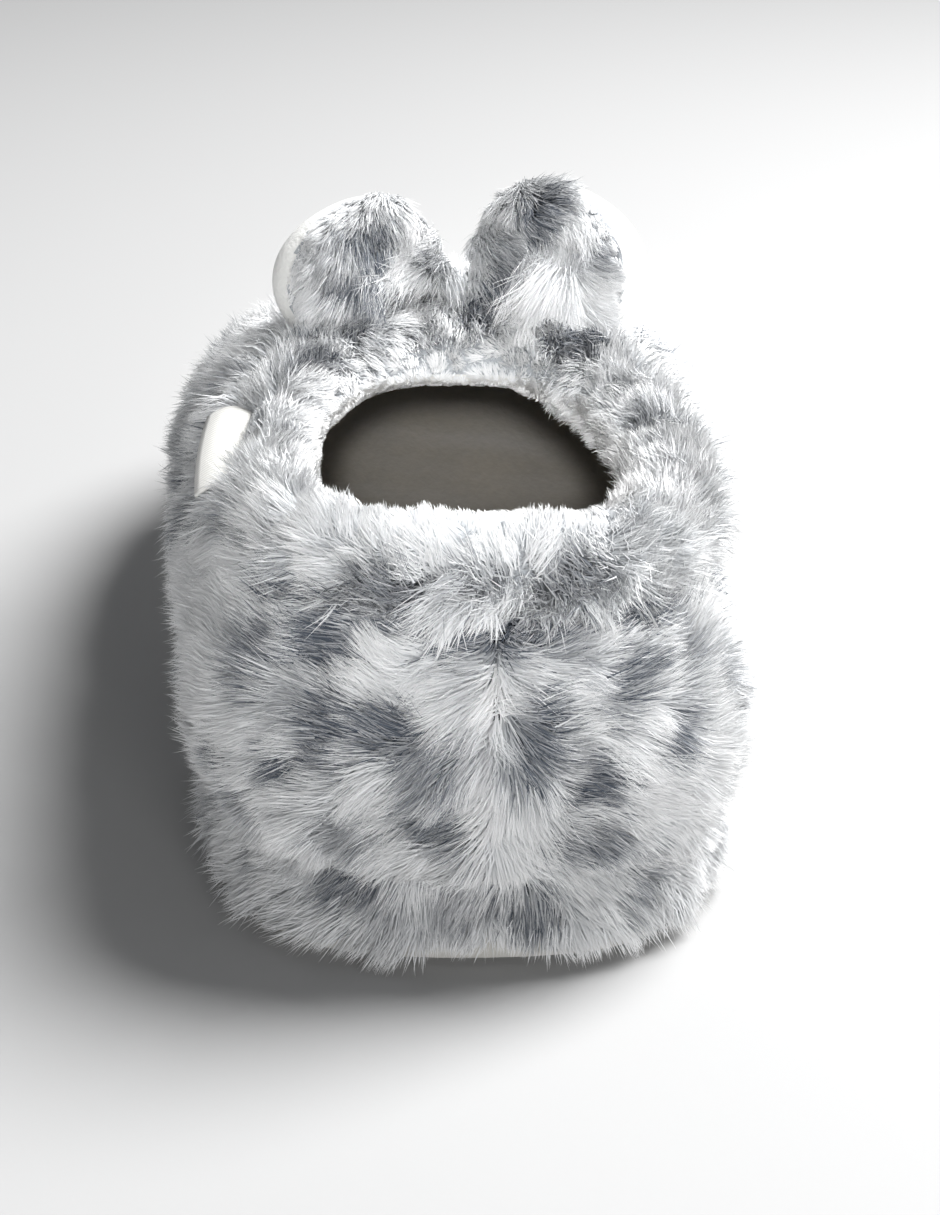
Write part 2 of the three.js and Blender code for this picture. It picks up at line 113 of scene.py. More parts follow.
# Dark spots of each piece of plush, charted over the photograph's frame: place across and down, half width
# and half height in millimetres, and depth of colour.
# Some entries are painted shade, not print: thin dark bands in the creases under the ears, each marked below.
SPOTS_AND_CREASE_SHADE = {
    "upper": (
        (257, 645, 4.6, 5.4, 0.85), (228, 655, 2.8, 4.5, 0.7), (315, 637, 5.0, 6.0, 1.0), (390, 630, 7.0, 2.8, 0.8),
        (500, 637, 6.5, 5.0, 1.0), (455, 628, 3.2, 2.6, 0.6), (575, 640, 4.0, 3.0, 0.6), (638, 660, 4.2, 5.5, 0.9),
        (680, 640, 4.0, 3.6, 0.6), (720, 660, 3.0, 5.0, 0.6), (185, 675, 2.8, 4.6, 0.8), (200, 730, 2.8, 4.6, 0.8),
        (227, 757, 3.2, 4.4, 0.9), (277, 765, 4.2, 4.2, 1.0), (325, 737, 5.0, 6.0, 1.0), (380, 718, 5.6, 5.0, 0.95),
        (530, 760, 6.5, 7.0, 1.0), (537, 722, 4.6, 4.0, 0.75), (610, 777, 5.0, 5.5, 0.95), (680, 747, 4.6, 6.4, 0.9),
        (712, 795, 3.0, 4.6, 0.6), (430, 825, 4.6, 4.6, 0.9), (460, 772, 3.6, 3.4, 0.65), (335, 825, 5.5, 4.0, 0.7),
        (590, 838, 6.5, 3.6, 0.8), (645, 850, 4.5, 3.2, 0.75), (245, 805, 3.0, 3.6, 0.6), (176, 590, 2.8, 4.6, 0.7),
        (733, 600, 3.0, 5.0, 0.6), (738, 700, 3.0, 5.0, 0.6), (215, 352, 3.4, 4.0, 0.7), (182, 450, 3.0, 4.6, 0.7),
        (172, 510, 3.0, 4.6, 0.7), (235, 375, 3.4, 3.0, 0.6), (200, 400, 3.0, 3.4, 0.7), (700, 400, 3.4, 4.0, 0.6),
        (618, 705, 4.0, 4.4, 0.75), (420, 770, 4.0, 4.0, 0.8), (498, 690, 2.6, 5.0, 0.7), (290, 690, 3.4, 4.0, 0.6),
        (455, 690, 3.6, 3.2, 0.5),
    ),
    "platform": (
        (345, 882, 8.0, 4.6, 0.85), (445, 908, 5.5, 4.0, 0.6), (535, 915, 6.5, 4.4, 0.9), (650, 885, 6.0, 3.6, 0.7),
        (252, 868, 3.6, 3.6, 0.6), (395, 925, 4.0, 3.4, 0.4), (215, 810, 3.4, 4.0, 0.6), (712, 840, 3.4, 4.0, 0.5),
    ),
    "cuff": (
        (375, 588, 6.5, 3.2, 0.8), (300, 600, 5.0, 2.8, 0.8), (590, 580, 5.5, 3.6, 0.75), (176, 560, 3.0, 4.4, 0.7),
        (450, 590, 5.0, 2.6, 0.6), (680, 592, 4.4, 4.0, 0.6), (225, 580, 4.4, 3.4, 0.6), (540, 600, 4.0, 2.6, 0.5),
        (640, 520, 4.0, 3.6, 0.35), (320, 362, 6.5, 3.8, 0.85), (275, 410, 5.5, 3.4, 0.8), (302, 438, 3.6, 3.2, 0.7),
        (440, 342, 5.5, 3.0, 0.6), (425, 308, 5.5, 3.0, 0.6), (505, 315, 6.5, 4.2, 1.0), (568, 342, 7.0, 4.0, 0.95),
        # Painted shade: the thin spots from (300, 337) on this line to (564, 317) on the next lie in the creases under
        # the ears.
        (630, 420, 5.0, 4.0, 0.7), (690, 425, 4.0, 4.0, 0.6), (300, 337, 5.0, 1.8, 1.0), (362, 327, 6.0, 1.8, 1.0),
        (415, 301, 5.0, 2.0, 1.0), (491, 295, 4.0, 2.4, 1.0), (564, 317, 5.0, 1.8, 0.9), (375, 345, 4.0, 2.6, 0.5),
        (700, 500, 4.0, 5.0, 0.5), (655, 470, 4.0, 3.4, 0.4),
    ),
    "ear_left": (
        (370, 245, 5.5, 4.0, 1.0), (338, 265, 4.2, 2.6, 0.6), (422, 200, 3.6, 3.2, 0.7), (430, 262, 3.2, 3.2, 0.6),
        # Painted shade: the spot below lies in the crease under the ear.
        (365, 312, 8.0, 2.4, 0.9),
    ),
    "ear_right": (
        (550, 215, 5.6, 5.0, 1.0), (603, 255, 5.0, 4.2, 0.7), (575, 275, 4.0, 3.0, 0.6), (520, 268, 4.2, 4.0, 0.7),
        # Painted shade: the spot below lies in the crease under the ear.
        (512, 298, 4.0, 2.6, 1.0),
    ),
}


def linear(code):
    """Scene-linear red, green, blue and alpha of an sRGB hex colour."""
    shares = [int(code[i : i + 2], 16) / 255 for i in (1, 3, 5)]
    return [s / 12.92 if s <= 0.04045 else ((s + 0.055) / 1.055) ** 2.4 for s in shares] + [1.0]


def colour_property(name, description, code):
    return bpy.props.FloatVectorProperty(
        name=name, description=description, subtype="COLOR", size=4, min=0, max=1, default=linear(code)
    )


def length_property(name, description, default, low, high):
    return bpy.props.FloatProperty(
        name=name, description=description, default=default, min=low, max=high, subtype="DISTANCE", unit="LENGTH"
    )


class SlipperSizes(bpy.types.PropertyGroup):
    """Sizes of the fur."""

    pile: length_property("Pile", "Length of a fibre of the long plush", 0.0118, 0.002, 0.03)
    fibre: length_property("Fibre", "Width of a strand as drawn, several fibres lying together", 0.00032, 0.0001, 0.002)
    density: bpy.props.FloatProperty(
        name="Density", description="Strands drawn on a square millimetre of the heel", default=5.2, min=0.5, max=8
    )
    tuft: length_property("Tuft", "Distance between the small tufts", 0.0032, 0.001, 0.02)
    lock: length_property("Lock", "Distance between the locks that the tufts lean into", 0.009, 0.003, 0.04)


class SlipperColours(bpy.types.PropertyGroup):
    """Colours of the slipper's finishes."""

    light_tip: colour_property("Light tip", "Tip of a white fibre", "#ffffff")
    # Painted shade: both root colours below are darker than their tips, standing in for the shade deep between the
    # tufts.
    light_root_shaded: colour_property("Light root", "Root of a white fibre", "#d3d7db")
    dark_tip: colour_property("Dark tip", "Tip of a fibre in a spot", "#545d6a")
    dark_root_shaded: colour_property("Dark root", "Root of a fibre in a spot", "#1f242b")
    lining: colour_property("Lining", "Short white pile inside the collar", "#efefec")
    footbed: colour_property("Footbed", "Brushed cover of the footbed", "#766b57")
    fleece: colour_property("Fleece", "Smooth fleece on the ears' fronts", "#f6f6f3")
    rubber: colour_property("Rubber", "Moulded outsole", "#e6e5e1")
    satin: colour_property("Satin", "Woven side tab", "#f1f0ec")
    floor: colour_property("Floor", "Pale studio floor", "#bdbdbd")


# Forms


def power(value, exponent):
    """value to an exponent, with its sign kept."""
    return np.sign(value) * np.abs(value) ** exponent


def sole_table():
    """The outline's points, evenly spaced by length, and its outward direction at each."""
    points = OUTLINE[:, ::-1] * (BALL_WIDTH / 2, SOLE_LENGTH)
    before, after, beyond = (np.roll(points, -shift, axis=0) for shift in (-1, 1, 2))
    step = [np.sqrt(np.linalg.norm(b - a, axis=1))[:, None] for a, b in
            ((before, points), (points, after), (after, beyond))]
    start = (points - before) / step[0] - (after - before) / (step[0] + step[1]) + (after - points) / step[1]
    end = (after - points) / step[1] - (beyond - points) / (step[1] + step[2]) + (beyond - after) / step[2]
    start, end = start * step[1], end * step[1]
    dense = []
    for t in np.linspace(0, 1, 60, endpoint=False):
        dense.append(points + start * t + (3 * (after - points) - 2 * start - end) * t ** 2
                     + (2 * (points - after) + start + end) * t ** 3)
    curve = np.stack(dense, axis=1).reshape(-1, 2)
    curve = np.vstack([curve, curve[:1]])
    lengths = np.concatenate([[0], np.cumsum(np.linalg.norm(np.diff(curve, axis=0), axis=1))])
    turns = np.linspace(0, 1, 1440, endpoint=False)
    even = np.stack([np.interp(turns * lengths[-1], lengths, curve[:, k]) for k in (0, 1)], axis=1)
    along = np.roll(even, -1, axis=0) - np.roll(even, 1, axis=0)
    along /= np.linalg.norm(along, axis=1)[:, None]
    return turns, even[:, 0], even[:, 1], along[:, 1], -along[:, 0]


SOLE_TURNS, *SOLE_COLUMNS = sole_table()


def outline_at(turn, grow, height):
    """Points of the sole's outline moved outwards; turn is 0 at the heel and runs by the inner side to 1."""
    x, y, out_x, out_y = (np.interp(turn, SOLE_TURNS, column, period=1) for column in SOLE_COLUMNS)
    return np.stack(np.broadcast_arrays(x + out_x * grow, y + out_y * grow, height), axis=-1)


def vamp_share(turn):
    """0 at the heel and 1 at the middle of the vamp."""
    return (1 - np.cos(2 * np.pi * turn)) / 2


def unit(vectors):
    return vectors / np.maximum(np.linalg.norm(vectors, axis=-1, keepdims=True), 1e-9)


def cuff_frame(turn):
    """Middle of the cuff's section, its own out and up directions, half its height and half its thickness."""
    angle = 2 * np.pi * turn
    x = CUFF_WIDTH * power(np.sin(angle), 2 / CUFF_FULLNESS)
    y = CUFF_MIDDLE - CUFF_LENGTH * power(np.cos(angle), 2 / CUFF_FULLNESS)
    across = power(x / CUFF_WIDTH, CUFF_FULLNESS - 1) / CUFF_WIDTH
    along = power((y - CUFF_MIDDLE) / CUFF_LENGTH, CUFF_FULLNESS - 1) / CUFF_LENGTH
    away = unit(np.stack([across, along, 0 * across], axis=-1))
    end = np.where((np.cos(angle) > 0)[..., None], CUFF_BACK, CUFF_FRONT)
    height, half_tall, half_thick = np.moveaxis(
        CUFF_SIDE + (end - CUFF_SIDE) * (np.cos(angle) ** 2)[..., None], -1, 0)
    lay = CUFF_LAY_OVER * vamp_share(turn) ** 1.4
    top = np.array((0.0, 0.0, 1.0))
    out = away * np.cos(lay)[..., None] + top * np.sin(lay)[..., None]
    up = top * np.cos(lay)[..., None] - away * np.sin(lay)[..., None]
    return np.stack([x, y, height], axis=-1), out, up, half_tall, half_thick


def cuff_at(turn, place, grow=0.0):
    """Points of the cuff's skin: place is 0 at its foot, 0.25 on its outer side and 0.5 on its crest."""
    middle, out, up, half_tall, half_thick = cuff_frame(turn)
    angle = 2 * np.pi * place
    return (middle + out * ((half_thick + grow) * np.sin(angle))[..., None]
            - up * ((half_tall + grow) * np.cos(angle))[..., None])


def upper_grid(turns, shares, inside):
    """Points of the upper at shares of its way from the platform to the collar, at a depth into its wall."""
    foot = outline_at(turns, -UPPER_INSET - inside, UPPER_FOOT)
    middle, out, up, half_tall, _ = cuff_frame(turns)
    seat = middle + out * (CUFF_SEAT + UPPER_WALL / 2 - inside) - up * (half_tall + GAP)[:, None]
    outward = outline_at(turns, 1, 0) - outline_at(turns, 0, 0)
    slope = VAMP_SLOPE * vamp_share(turns)[:, None] ** 2
    angle = np.linspace(0, np.pi / 2, 41)[None, :]
    in_share = 1 - np.cos(angle) ** (2 / VAMP_FULLNESS)
    up_share = np.sin(angle) ** (2 / VAMP_FULLNESS)
    in_share = np.where(angle > np.pi / 2 - 1e-9, 1.0, in_share)
    bulge = UPPER_BULGE * np.sin(np.pi * up_share ** 0.8) * (1 - in_share)
    rise = up_share + (in_share - up_share) * slope * up_share
    line = foot[:, None] + (seat - foot)[:, None] * in_share[..., None]
    line[..., 2] = foot[:, None, 2] + (seat - foot)[:, None, 2] * rise
    line = line + outward[:, None] * bulge[..., None]
    steps = np.linalg.norm(np.diff(line, axis=1), axis=2)
    lengths = np.concatenate([np.zeros((len(turns), 1)), np.cumsum(steps, axis=1)], axis=1)
    result = np.empty((len(turns), len(shares), 3))
    for row, (own, reach) in enumerate(zip(line, lengths)):
        for k in range(3):
            result[row, :, k] = np.interp(shares * reach[-1], reach, own[:, k])
    return result


def ear_matrix(name):
    """Turn and place of an ear; its own frame has X across, Z up and its furry back towards -Y."""
    side, place = EARS[name]
    turn = (Matrix.Rotation(-side * EAR_YAW, 3, "Z") @ Matrix.Rotation(side * EAR_DROOP, 3, "Y")
            @ Matrix.Rotation(-EAR_LEAN, 3, "X"))
    return np.array(turn), np.array(place)


def ear_dome(turn, share, depth):
    """One side of an ear, from its rim at share 0 to its middle at 1."""
    angle, rise = 2 * np.pi * turn, share * np.pi / 2
    height = power(np.cos(angle), 2 / EAR_FULLNESS)
    return np.stack(np.broadcast_arrays(
        EAR_WIDTH * power(np.sin(angle), 2 / EAR_FULLNESS) * np.cos(rise),
        depth * np.sin(rise),
        height * np.where(height > 0, EAR_TOP, EAR_ROOT) * np.cos(rise)), axis=-1)


# Sole coordinates to the row frame, found from the outsole's box.
RIB = outline_at(SOLE_TURNS, RIB_PROUD, 0.0)
OUTSOLE_BOX = np.array(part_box("outsole")) / MM
SHIFT = np.array((*(OUTSOLE_BOX.mean(axis=0)[:2] - (RIB.min(axis=0) + RIB.max(axis=0))[:2] / 2), 0.0))


def camera_axes():
    """Towards the camera, its right and its up."""
    a, e, r = CAMERA_AZIMUTH, CAMERA_ELEVATION, CAMERA_ROLL
    back = np.array((math.sin(a) * math.cos(e), -math.cos(a) * math.cos(e), math.sin(e)))
    right = np.array((math.cos(a), math.sin(a), 0))
    up = np.cross(back, right)
    return back, right * math.cos(r) + up * math.sin(r), up * math.cos(r) - right * math.sin(r)


def in_photo(points):
    """Where points of the sole frame fall in the photograph's frame, in pixels."""
    back, right, up = camera_axes()
    offset = points + SHIFT - CAMERA_TARGET
    depth = CAMERA_DISTANCE - offset @ back
    return np.stack([FRAME_WIDTH / 2 + FRAME_OFFSET[0] + FOCAL_PIXELS * (offset @ right) / depth,
                     FRAME_HEIGHT / 2 + FRAME_OFFSET[1] - FOCAL_PIXELS * (offset @ up) / depth], axis=-1)


def wander(points, length, seed):
    """A smooth random number from about -1 to 1 at each point, that changes over a length."""
    rng = np.random.default_rng(seed)
    total = np.zeros(points.shape[:-1])
    for _ in range(7):
        wave = unit(rng.normal(size=3)) * 2 * np.pi / (length * rng.uniform(0.7, 1.6))
        total += np.sin(points @ wave + rng.uniform(0, 2 * np.pi))
    return total / 2.6


class Patch:
    """A furry surface as a closed band of points, with its own directions, comb, pile, density, tint and spots, some of
    them painted shade in creases.
    """

    def __init__(self, name, points, columns):
        self.name, self.points, self.columns = name, points, columns
        along = np.gradient(points, axis=0)
        along[0] = along[-1] = points[1] - points[-2]
        self.along = unit(along)
        self.rise = unit(np.gradient(points, axis=1))
        self.normal = unit(np.cross(self.along, self.rise))
        self.rise = np.cross(self.normal, self.along)
        self.comb = np.zeros_like(points)
        self.pile = np.ones(points.shape[:2])
        self.dense = np.ones(points.shape[:2])
        self.tint = np.ones(points.shape[:2])
        self.spots = []

    def reach(self):
        """Offset of a full fibre's visible part from its root."""
        return (self.normal * 0.55 + self.comb * 0.55) * (self.pile * 9)[..., None]

    # Adds a dark mark to the colour; the print's spots and the painted shade in creases both come through here.
    def add_spot_or_shade(self, i, j, wide, tall, depth):
        self.spots.append((self.points[i, j], self.along[i, j], self.rise[i, j], wide, tall, depth))

    def swirl(self, share):
        """Turns the comb within the surface by a share that changes over it."""
        self.comb = self.comb + np.cross(self.normal, self.comb) * share[..., None]

    def chart(self):
        """Finds the roots of the spots, and of the painted shade in creases, that the photograph shows on this piece.
        """
        tips = self.points + self.reach()
        places = in_photo(tips)
        back = camera_axes()[0]
        facing = (self.normal @ back) > 0.05
        for x, y, wide, tall, depth in SPOTS_AND_CREASE_SHADE[self.name]:
            away = np.linalg.norm(places - (x, y), axis=-1) + np.where(facing, 0, 1e6)
            i, j = np.unravel_index(np.argmin(away), away.shape)
            self.add_spot_or_shade(i, j, wide, tall, depth)

    def scatter_spots(self, rows, spacing, seed, unseen):
        """Adds spots in loose rows where the photograph doesn't reach."""
        rng = np.random.default_rng(seed)
        for number, share in enumerate(rows):
            j = int(share * (self.points.shape[1] - 1))
            line = self.points[:, j]
            lengths = np.concatenate([[0], np.cumsum(np.linalg.norm(np.diff(line, axis=0), axis=1))])
            count = max(1, int(lengths[-1] / spacing))
            for k in range(count):
                want = (k + (number % 2) / 2 + rng.uniform(-0.25, 0.25)) / count % 1
                i = int(np.searchsorted(lengths, want * lengths[-1])) % len(line)
                row = int(np.clip(j + rng.integers(-2, 3), 0, self.points.shape[1] - 1))
                wide, tall, depth = rng.uniform(3.6, 5.6), rng.uniform(4, 6.5), rng.uniform(0.6, 1)
                if unseen(self.points[i, row], self.normal[i, row]):
                    self.add_spot_or_shade(i, row, wide, tall, depth)

    def spot(self, points):
        """How deep the colour is at each point, from 0 to 1."""
        drift = np.stack([wander(points, 11, seed) for seed in (5, 6, 7)], axis=-1) * SPOT_DRIFT
        points = points + drift
        result = np.zeros(points.shape[:-1])
        for centre, along, rise, wide, tall, depth in self.spots:
            off = points - centre
            off_along, off_rise = off @ along, off @ rise
            rest = np.linalg.norm(off - off_along[..., None] * along - off_rise[..., None] * rise, axis=-1)
            far = np.sqrt((off_along / wide) ** 2 + (off_rise / tall) ** 2 + (rest / 9) ** 2)
            result = np.maximum(result, depth * np.clip((1.3 - far) / 0.42, 0, 1))
        return np.clip(result, 0, 1)

    def sample(self, field, u, v):
        i, j = np.minimum(u.astype(int), field.shape[0] - 2), np.minimum(v.astype(int), field.shape[1] - 2)
        a, b = u - i, v - j
        if field.ndim == 3:
            a, b = a[:, None], b[:, None]
        return ((field[i, j] * (1 - a) + field[i + 1, j] * a) * (1 - b)
                + (field[i, j + 1] * (1 - a) + field[i + 1, j + 1] * a) * b)

    def scatter(self, density, window, rng):
        """Grid places of roots, as many a square millimetre as density says, where the window says so."""
        p = self.points
        area = np.linalg.norm(np.cross(p[1:, :-1] - p[:-1, :-1], p[:-1, 1:] - p[:-1, :-1]), axis=-1)
        middle = (self.columns[1:] + self.columns[:-1]) / 2
        weight = area * self.dense[:-1, :-1] * window(middle)[:, None] * density
        total = np.cumsum(weight.ravel())
        count = int(total[-1])
        picks = np.searchsorted(total, (np.arange(count) + rng.random(count)) / count * total[-1])
        picks = np.minimum(picks, total.size - 1)
        i, j = np.unravel_index(picks, area.shape)
        return i + rng.random(count), j + rng.random(count)


# Least height of a fibre over the floor.
FLOOR_CLEARANCE = 0.5
# How far locks, tufts and single strands sway from the comb, as shares of their length.
LOCK_SWAY, TUFT_SWAY, STRAND_SWAY = 0.42, 0.42, 0.36
# How much the tip of a tuft follows its lock, and the least and most that a strand follows its tuft.
TUFT_FOLLOWS = 0.34
STRAND_FOLLOWS = (0.15, 0.75)
# How far a spot's edge wanders and frays, in millimetres, and how deep the small grey mottling between spots is, partly
# pale spots and partly painted shade between the tufts.
SPOT_DRIFT, SPOT_FRAY, MOTTLE_AND_SHADE = 1.6, 1.1, 0.26
# Pile under an ear and beside the tab, as a share of the full pile.
HELD_PILE, TAB_PILE = 0.28, 0.3


def strand_line(patch, u, v, rng, sway, pile):
    """Root, middle and tip of a strand at each place, bent over along the comb."""
    root = patch.sample(patch.points, u, v)
    normal = unit(patch.sample(patch.normal, u, v))
    comb = patch.sample(patch.comb, u, v)
    length = patch.sample(patch.pile, u, v) * pile * rng.uniform(0.82, 1.14, len(u))
    swayed = rng.normal(size=(len(u), 3)) * sway
    first = unit(normal + 0.42 * comb + swayed * 0.6)
    second = unit(normal * 0.62 + 1.25 * comb + swayed)
    middle = root + first * (0.5 * length)[:, None]
    tip = middle + second * (0.5 * length)[:, None]
    return root, middle, tip, normal


def nearest(points, centres):
    """Number of the nearest centre to each point."""
    tree = KDTree(len(centres))
    for i, centre in enumerate(centres):
        tree.insert(centre, i)
    tree.balance()
    find = tree.find
    return np.array([find(point)[1] for point in points])


def grow_fur(name, patch, window, sizes, colours, seed, share=1.0, pile=1.0, width=1.0, tufts=1.0):
    """One mesh of strands over a window of a patch: flat tapered ribbons of three triangles that lean into tufts."""
    rng = np.random.default_rng(seed)
    length = sizes.pile / MM * pile
    tuft, lock = sizes.tuft / MM * tufts, sizes.lock / MM * tufts
    lock_uv = patch.scatter(1 / lock ** 2, window, rng)
    tuft_uv = patch.scatter(1 / tuft ** 2, window, rng)
    lock_root, lock_middle, lock_tip, _ = strand_line(patch, *lock_uv, rng, LOCK_SWAY, length)
    tuft_root, tuft_middle, tuft_tip, _ = strand_line(patch, *tuft_uv, rng, TUFT_SWAY, length)
    own = nearest(tuft_root, lock_root)
    tuft_middle += 0.12 * (lock_middle[own] - tuft_middle)
    tuft_tip += TUFT_FOLLOWS * (lock_tip[own] - tuft_tip)

    u, v = patch.scatter(sizes.density * share, window, rng)
    root, middle, tip, normal = strand_line(patch, u, v, rng, STRAND_SWAY, length)
    own = nearest(root, tuft_root)
    hold = rng.uniform(*STRAND_FOLLOWS, len(u))[:, None]
    middle += 0.45 * hold * (tuft_middle[own] - middle)
    tip += hold * (tuft_tip[own] - tip)
    side = unit(np.cross(tip - root, normal) + 1e-6) + rng.normal(size=root.shape) * 0.25
    side = unit(side) * (sizes.fibre / MM / 2 * width * rng.uniform(0.75, 1.3, len(u)))[:, None]
    corners = np.stack([root - side, root + side, middle + side * 0.85, middle - side * 0.85, tip], axis=1)
    corners[..., 2] = np.maximum(corners[..., 2], FLOOR_CLEARANCE)

    lean = (root - tuft_root[own]) / tuft
    lie = unit(normal + 0.55 * lean + rng.normal(size=root.shape) * 0.12)
    spot = patch.spot(root + rng.normal(size=root.shape) * SPOT_FRAY) * rng.uniform(0.5, 1.15, len(u))
    # Grey mottling: partly pale spots, partly painted shade between the tufts.
    spot = np.clip(spot + MOTTLE_AND_SHADE * np.clip(wander(root, 7, 17), 0, 1) * rng.random(len(u)), 0, 1)
    tint = patch.sample(patch.tint, u, v)
    spot = spot * tint
    strand = 0.45 * rng.random(len(u)) + 0.55 * rng.random(len(tuft_root))[own]
    count = len(u)
    fibre = np.zeros((count, 5, 3), np.float32)
    fibre[:, :, 0] = spot[:, None]
    # Share from root to tip, which sets how much painted shade darkens the root; raised to the tip where the tint is
    # low.
    fibre[:, :, 1] = np.maximum((0, 0, 0.5, 0.5, 1), (1 - tint)[:, None])
    fibre[:, :, 2] = strand[:, None]

    mesh = bpy.data.meshes.new(name)
    mesh.vertices.add(count * 5)
    mesh.vertices.foreach_set("co", ((corners + SHIFT) * MM).astype(np.float32).ravel())
    base = np.arange(count)[:, None] * 5
    loops = (base + np.array((0, 1, 2, 3, 3, 2, 4))[None, :]).ravel()
    mesh.loops.add(count * 7)
    mesh.loops.foreach_set("vertex_index", loops.astype(np.int32))
    mesh.polygons.add(count * 2)
    starts = (np.arange(count)[:, None] * 7 + np.array((0, 4))[None, :]).ravel()
    mesh.polygons.foreach_set("loop_start", starts.astype(np.int32))
    mesh.update(calc_edges=True)
    for key, values in (("fibre", fibre.reshape(-1, 3)), ("lie", np.repeat(lie, 5, axis=0))):
        attribute = mesh.attributes.new(key, "FLOAT_VECTOR", "POINT")
        attribute.data.foreach_set("vector", values.astype(np.float32).ravel())
    return link(name, mesh, [plush_material(colours)])


# Making pieces


def link(name, mesh, materials):
    """A piece of the slipper from a mesh, riding on the body and its materials."""
    piece = bpy.data.objects.new(name, mesh)
    bpy.context.scene.collection.objects.link(piece)
    for material in materials:
        mesh.materials.append(material)
    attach(piece, "root")
    return piece


def mesh_from(bm, name):
    mesh = bpy.data.meshes.new(name)
    bm.to_mesh(mesh)
    bm.free()
    return mesh


def skin(name, points, closed_rows, materials, material_of=None, attribute=None):
    """A closed skin on a grid of points: create_grid's faces laid over them and welded where they meet."""
    columns, rows = points.shape[0] - 1, points.shape[1] - 1
    bm = bmesh.new()
    bmesh.ops.create_grid(bm, x_segments=columns, y_segments=rows, size=0.5)
    layer = bm.verts.layers.float.new("spot") if attribute is not None else None
    for vertex in bm.verts:
        i, j = round((vertex.co.x + 0.5) * columns), round((vertex.co.y + 0.5) * rows)
        vertex.co = (points[i, j] + SHIFT) * MM
        if layer is not None:
            vertex[layer] = attribute[i, j]
    if material_of is not None:
        bm.faces.ensure_lookup_table()
    for number, face in enumerate(bm.faces):
        face.smooth = True
        if material_of is not None:
            face.material_index = material_of(number % columns, number // columns)
    bmesh.ops.remove_doubles(bm, verts=bm.verts, dist=2e-6)
    bmesh.ops.dissolve_degenerate(bm, dist=1e-7, edges=bm.edges)
    if not closed_rows:
        ends = bmesh.ops.holes_fill(bm, edges=[edge for edge in bm.edges if edge.is_boundary], sides=0)["faces"]
        for face in bmesh.ops.triangulate(bm, faces=ends)["faces"]:
            face.smooth = True
    bmesh.ops.recalc_face_normals(bm, faces=bm.faces)
    return link(name, mesh_from(bm, name), materials)


# Materials


def node(tree, kind, inputs=(), **settings):
    """Adds a node with its settings, its input values or links, and gives it back."""
    added = tree.nodes.new(kind)
    for key, value in settings.items():
        setattr(added, key, value)
    for key, value in dict(inputs).items():
        if isinstance(value, bpy.types.NodeSocket):
            tree.links.new(value, added.inputs[key])
        else:
            added.inputs[key].default_value = value
    return added


def blank(name):
    """A new material and its empty node tree."""
    material = bpy.data.materials.new(name)
    material.use_nodes = True
    material.node_tree.nodes.clear()
    return material, material.node_tree


def dressed(material, inputs):
    """The material with its output and one Principled shader, which takes these values and links."""
    tree = material.node_tree
    shader = node(tree, "ShaderNodeBsdfPrincipled", inputs)
    node(tree, "ShaderNodeOutputMaterial", {"Surface": shader.outputs[0]})
    return material


def plush_material(colours):
    """Long polyester plush, brushed and steamed: silky fibres, paler to their tips because their roots carry painted
    shade between the tufts, with a soft sheen.
    """
    name = "long_pile_plush"
    if name in bpy.data.materials:
        return bpy.data.materials[name]
    material, tree = blank(name)
    fibre = node(tree, "ShaderNodeAttribute", attribute_name="fibre").outputs["Vector"]
    spot, along, strand = node(tree, "ShaderNodeSeparateXYZ", {0: fibre}).outputs
    light = node(tree, "ShaderNodeMix", {0: along, 6: colours.light_root_shaded, 7: colours.light_tip}, data_type="RGBA")
    dark = node(tree, "ShaderNodeMix", {0: along, 6: colours.dark_root_shaded, 7: colours.dark_tip}, data_type="RGBA")
    body = node(tree, "ShaderNodeMix", {0: spot, 6: light.outputs[2], 7: dark.outputs[2]}, data_type="RGBA")
    level = node(tree, "ShaderNodeMapRange", {"Value": strand, "To Min": 0.82, "To Max": 1.06}).outputs[0]
    shade = node(tree, "ShaderNodeCombineColor", {0: level, 1: level, 2: level})
    shaded = node(tree, "ShaderNodeMix", {0: 1.0, 6: body.outputs[2], 7: shade.outputs[0]}, data_type="RGBA",
                  blend_type="MULTIPLY")
    lie = node(tree, "ShaderNodeAttribute", attribute_name="lie").outputs["Vector"]
    own = node(tree, "ShaderNodeNewGeometry").outputs["Normal"]
    both = node(tree, "ShaderNodeVectorMath", {0: lie, 1: own}, operation="ADD").outputs[0]
    facing = node(tree, "ShaderNodeVectorMath", {0: both}, operation="NORMALIZE").outputs[0]
    return dressed(material, {
        "Base Color": shaded.outputs[2], "Normal": facing, "Roughness": 0.62, "Specular IOR Level": 0.25,
        "Sheen Weight": 0.25, "Sheen Roughness": 0.5,
    })


def backing_material(colours):
    """Knitted backing of the plush, seen between the roots: the fur's root colours with their painted shade, dull, with
    stitches of 1.1 mm.
    """
    name = "knitted_backing"
    if name in bpy.data.materials:
        return bpy.data.materials[name]
    material, tree = blank(name)
    spot = node(tree, "ShaderNodeAttribute", attribute_name="spot").outputs["Fac"]
    place = node(tree, "ShaderNodeTexCoord").outputs["Object"]
    grain = node(tree, "ShaderNodeTexNoise", {"Vector": place, "Scale": 900.0, "Detail": 3.0}).outputs[0]
    body = node(tree, "ShaderNodeMix", {0: spot, 6: colours.light_root_shaded, 7: colours.dark_root_shaded}, data_type="RGBA")
    shade = node(tree, "ShaderNodeMix", {0: grain, 6: linear("#8f9194"), 7: linear("#ffffff")}, data_type="RGBA")
    shaded = node(tree, "ShaderNodeMix", {0: 1.0, 6: body.outputs[2], 7: shade.outputs[2]}, data_type="RGBA",
                  blend_type="MULTIPLY")
    bump = node(tree, "ShaderNodeBump", {"Height": grain, "Strength": 0.6, "Distance": 0.0008})
    return dressed(material, {
        "Base Color": shaded.outputs[2], "Normal": bump.outputs[0], "Roughness": 0.95,
    })


